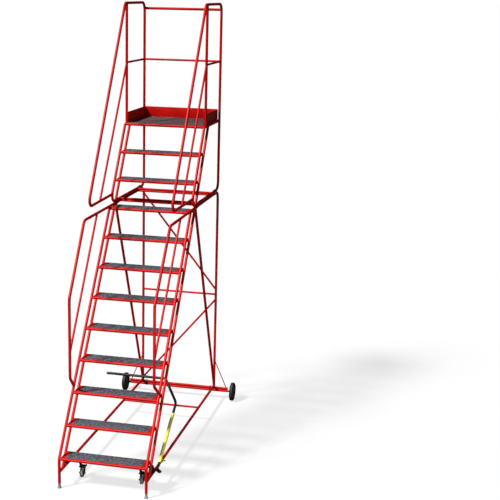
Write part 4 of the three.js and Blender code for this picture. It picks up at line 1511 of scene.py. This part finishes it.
# %% Floor
FLOOR_HALF = 900
floor_mesh = bpy.data.meshes.new("floor")
signs = [(-1, -1), (1, -1), (1, 1), (-1, 1)]
floor_mesh.from_pydata([(FLOOR_HALF * x, FLOOR_HALF * y, 0) for x, y in signs], [], [(0, 1, 2, 3)])
floor = bpy.data.objects.new("floor", floor_mesh)
bpy.context.scene.collection.objects.link(floor)
pale = bpy.data.materials.new("pale_floor")
pale.use_nodes = True
floor_shader = pale.node_tree.nodes["Principled BSDF"]
floor_shader.inputs["Base Color"].default_value = (0.24, 0.24, 0.24, 1)
floor_shader.inputs["Roughness"].default_value = 0.9
floor_shader.inputs["Emission Color"].default_value = (1, 1, 1, 1)
floor_shader.inputs["Emission Strength"].default_value = 0.74
floor_mesh.materials.append(pale)
floor.visible_diffuse = False
floor.visible_glossy = False
floor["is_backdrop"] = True
print("floor is", 2 * FLOOR_HALF, "m wide")


# %% Light
def lamp(name, kind, energy, toward, place=(0, 0, 0), **settings):
    """A light that shines from the direction toward."""
    data = bpy.data.lights.new(name, kind)
    data.energy = energy
    for key, value in settings.items():
        setattr(data, key, value)
    made = bpy.data.objects.new(name, data)
    made.matrix_world = along(Vector(place), Vector(toward))
    bpy.context.scene.collection.objects.link(made)
    return made


def studio(ambient):
    """A white backdrop that lights the stand only a little."""
    sky = bpy.data.worlds.new("studio")
    sky.use_nodes = True
    seen = Recipe(sky.node_tree).node("ShaderNodeLightPath")
    strength = seen * (1.0 - ambient) + ambient
    backdrop = sky.node_tree.nodes["Background"]
    sky.node_tree.links.new(strength.socket, backdrop.inputs["Strength"])
    backdrop.inputs["Color"].default_value = (1, 1, 1, 1)
    bpy.context.scene.world = sky


lamp("key", "SUN", 4.4, (-0.5, -0.5, 0.75), angle=math.radians(9))
lamp("low_fill", "AREA", 32, (1.5, -1.8, 0.75), (2.2, -2.9, 1.1), size=1.0)
studio(0.055)
bpy.context.scene.view_settings.view_transform = "Standard"
print(len(bpy.data.lights), "lights")


# %% Camera
def camera():
    data = bpy.data.cameras.new("camera")
    data.lens = 82.462
    data.shift_x, data.shift_y = 0.0946, 0.0420
    data.clip_end = 3000
    made = bpy.data.objects.new("camera", data)
    right = Vector((0.971689, 0.235667, 0.016782))
    up = Vector((-0.072335, 0.229123, 0.970706))
    back = Vector((0.224919, -0.944438, 0.239683))
    turn = Matrix((right, up, back)).transposed().to_4x4()
    made.matrix_world = Matrix.Translation((3.0471, -10.4289, 4.4203)) @ turn
    bpy.context.scene.collection.objects.link(made)
    bpy.context.scene.camera = made


camera()
print("camera is", round(bpy.context.scene.camera.location.length, 1), "m from the stand's foot")

# %% [markdown]
# ## Measuring
# The visual model has to keep to the frame's box. We measure the box round every shown piece, beside
# the frame's box, and count each piece's triangles.

# %% Sizes
bpy.context.view_layer.update()
low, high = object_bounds()
sizes = {"cad": [list(cad_low), list(cad_high)], "visual": [list(low), list(high)]}
faces = {o.name: sum(len(p.vertices) - 2 for p in o.data.polygons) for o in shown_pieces() if o.type == "MESH"}
print("visual box", [round(v, 3) for v in high - low])
print("triangles", sum(faces.values()), "most", max(faces.items(), key=lambda item: item[1]))
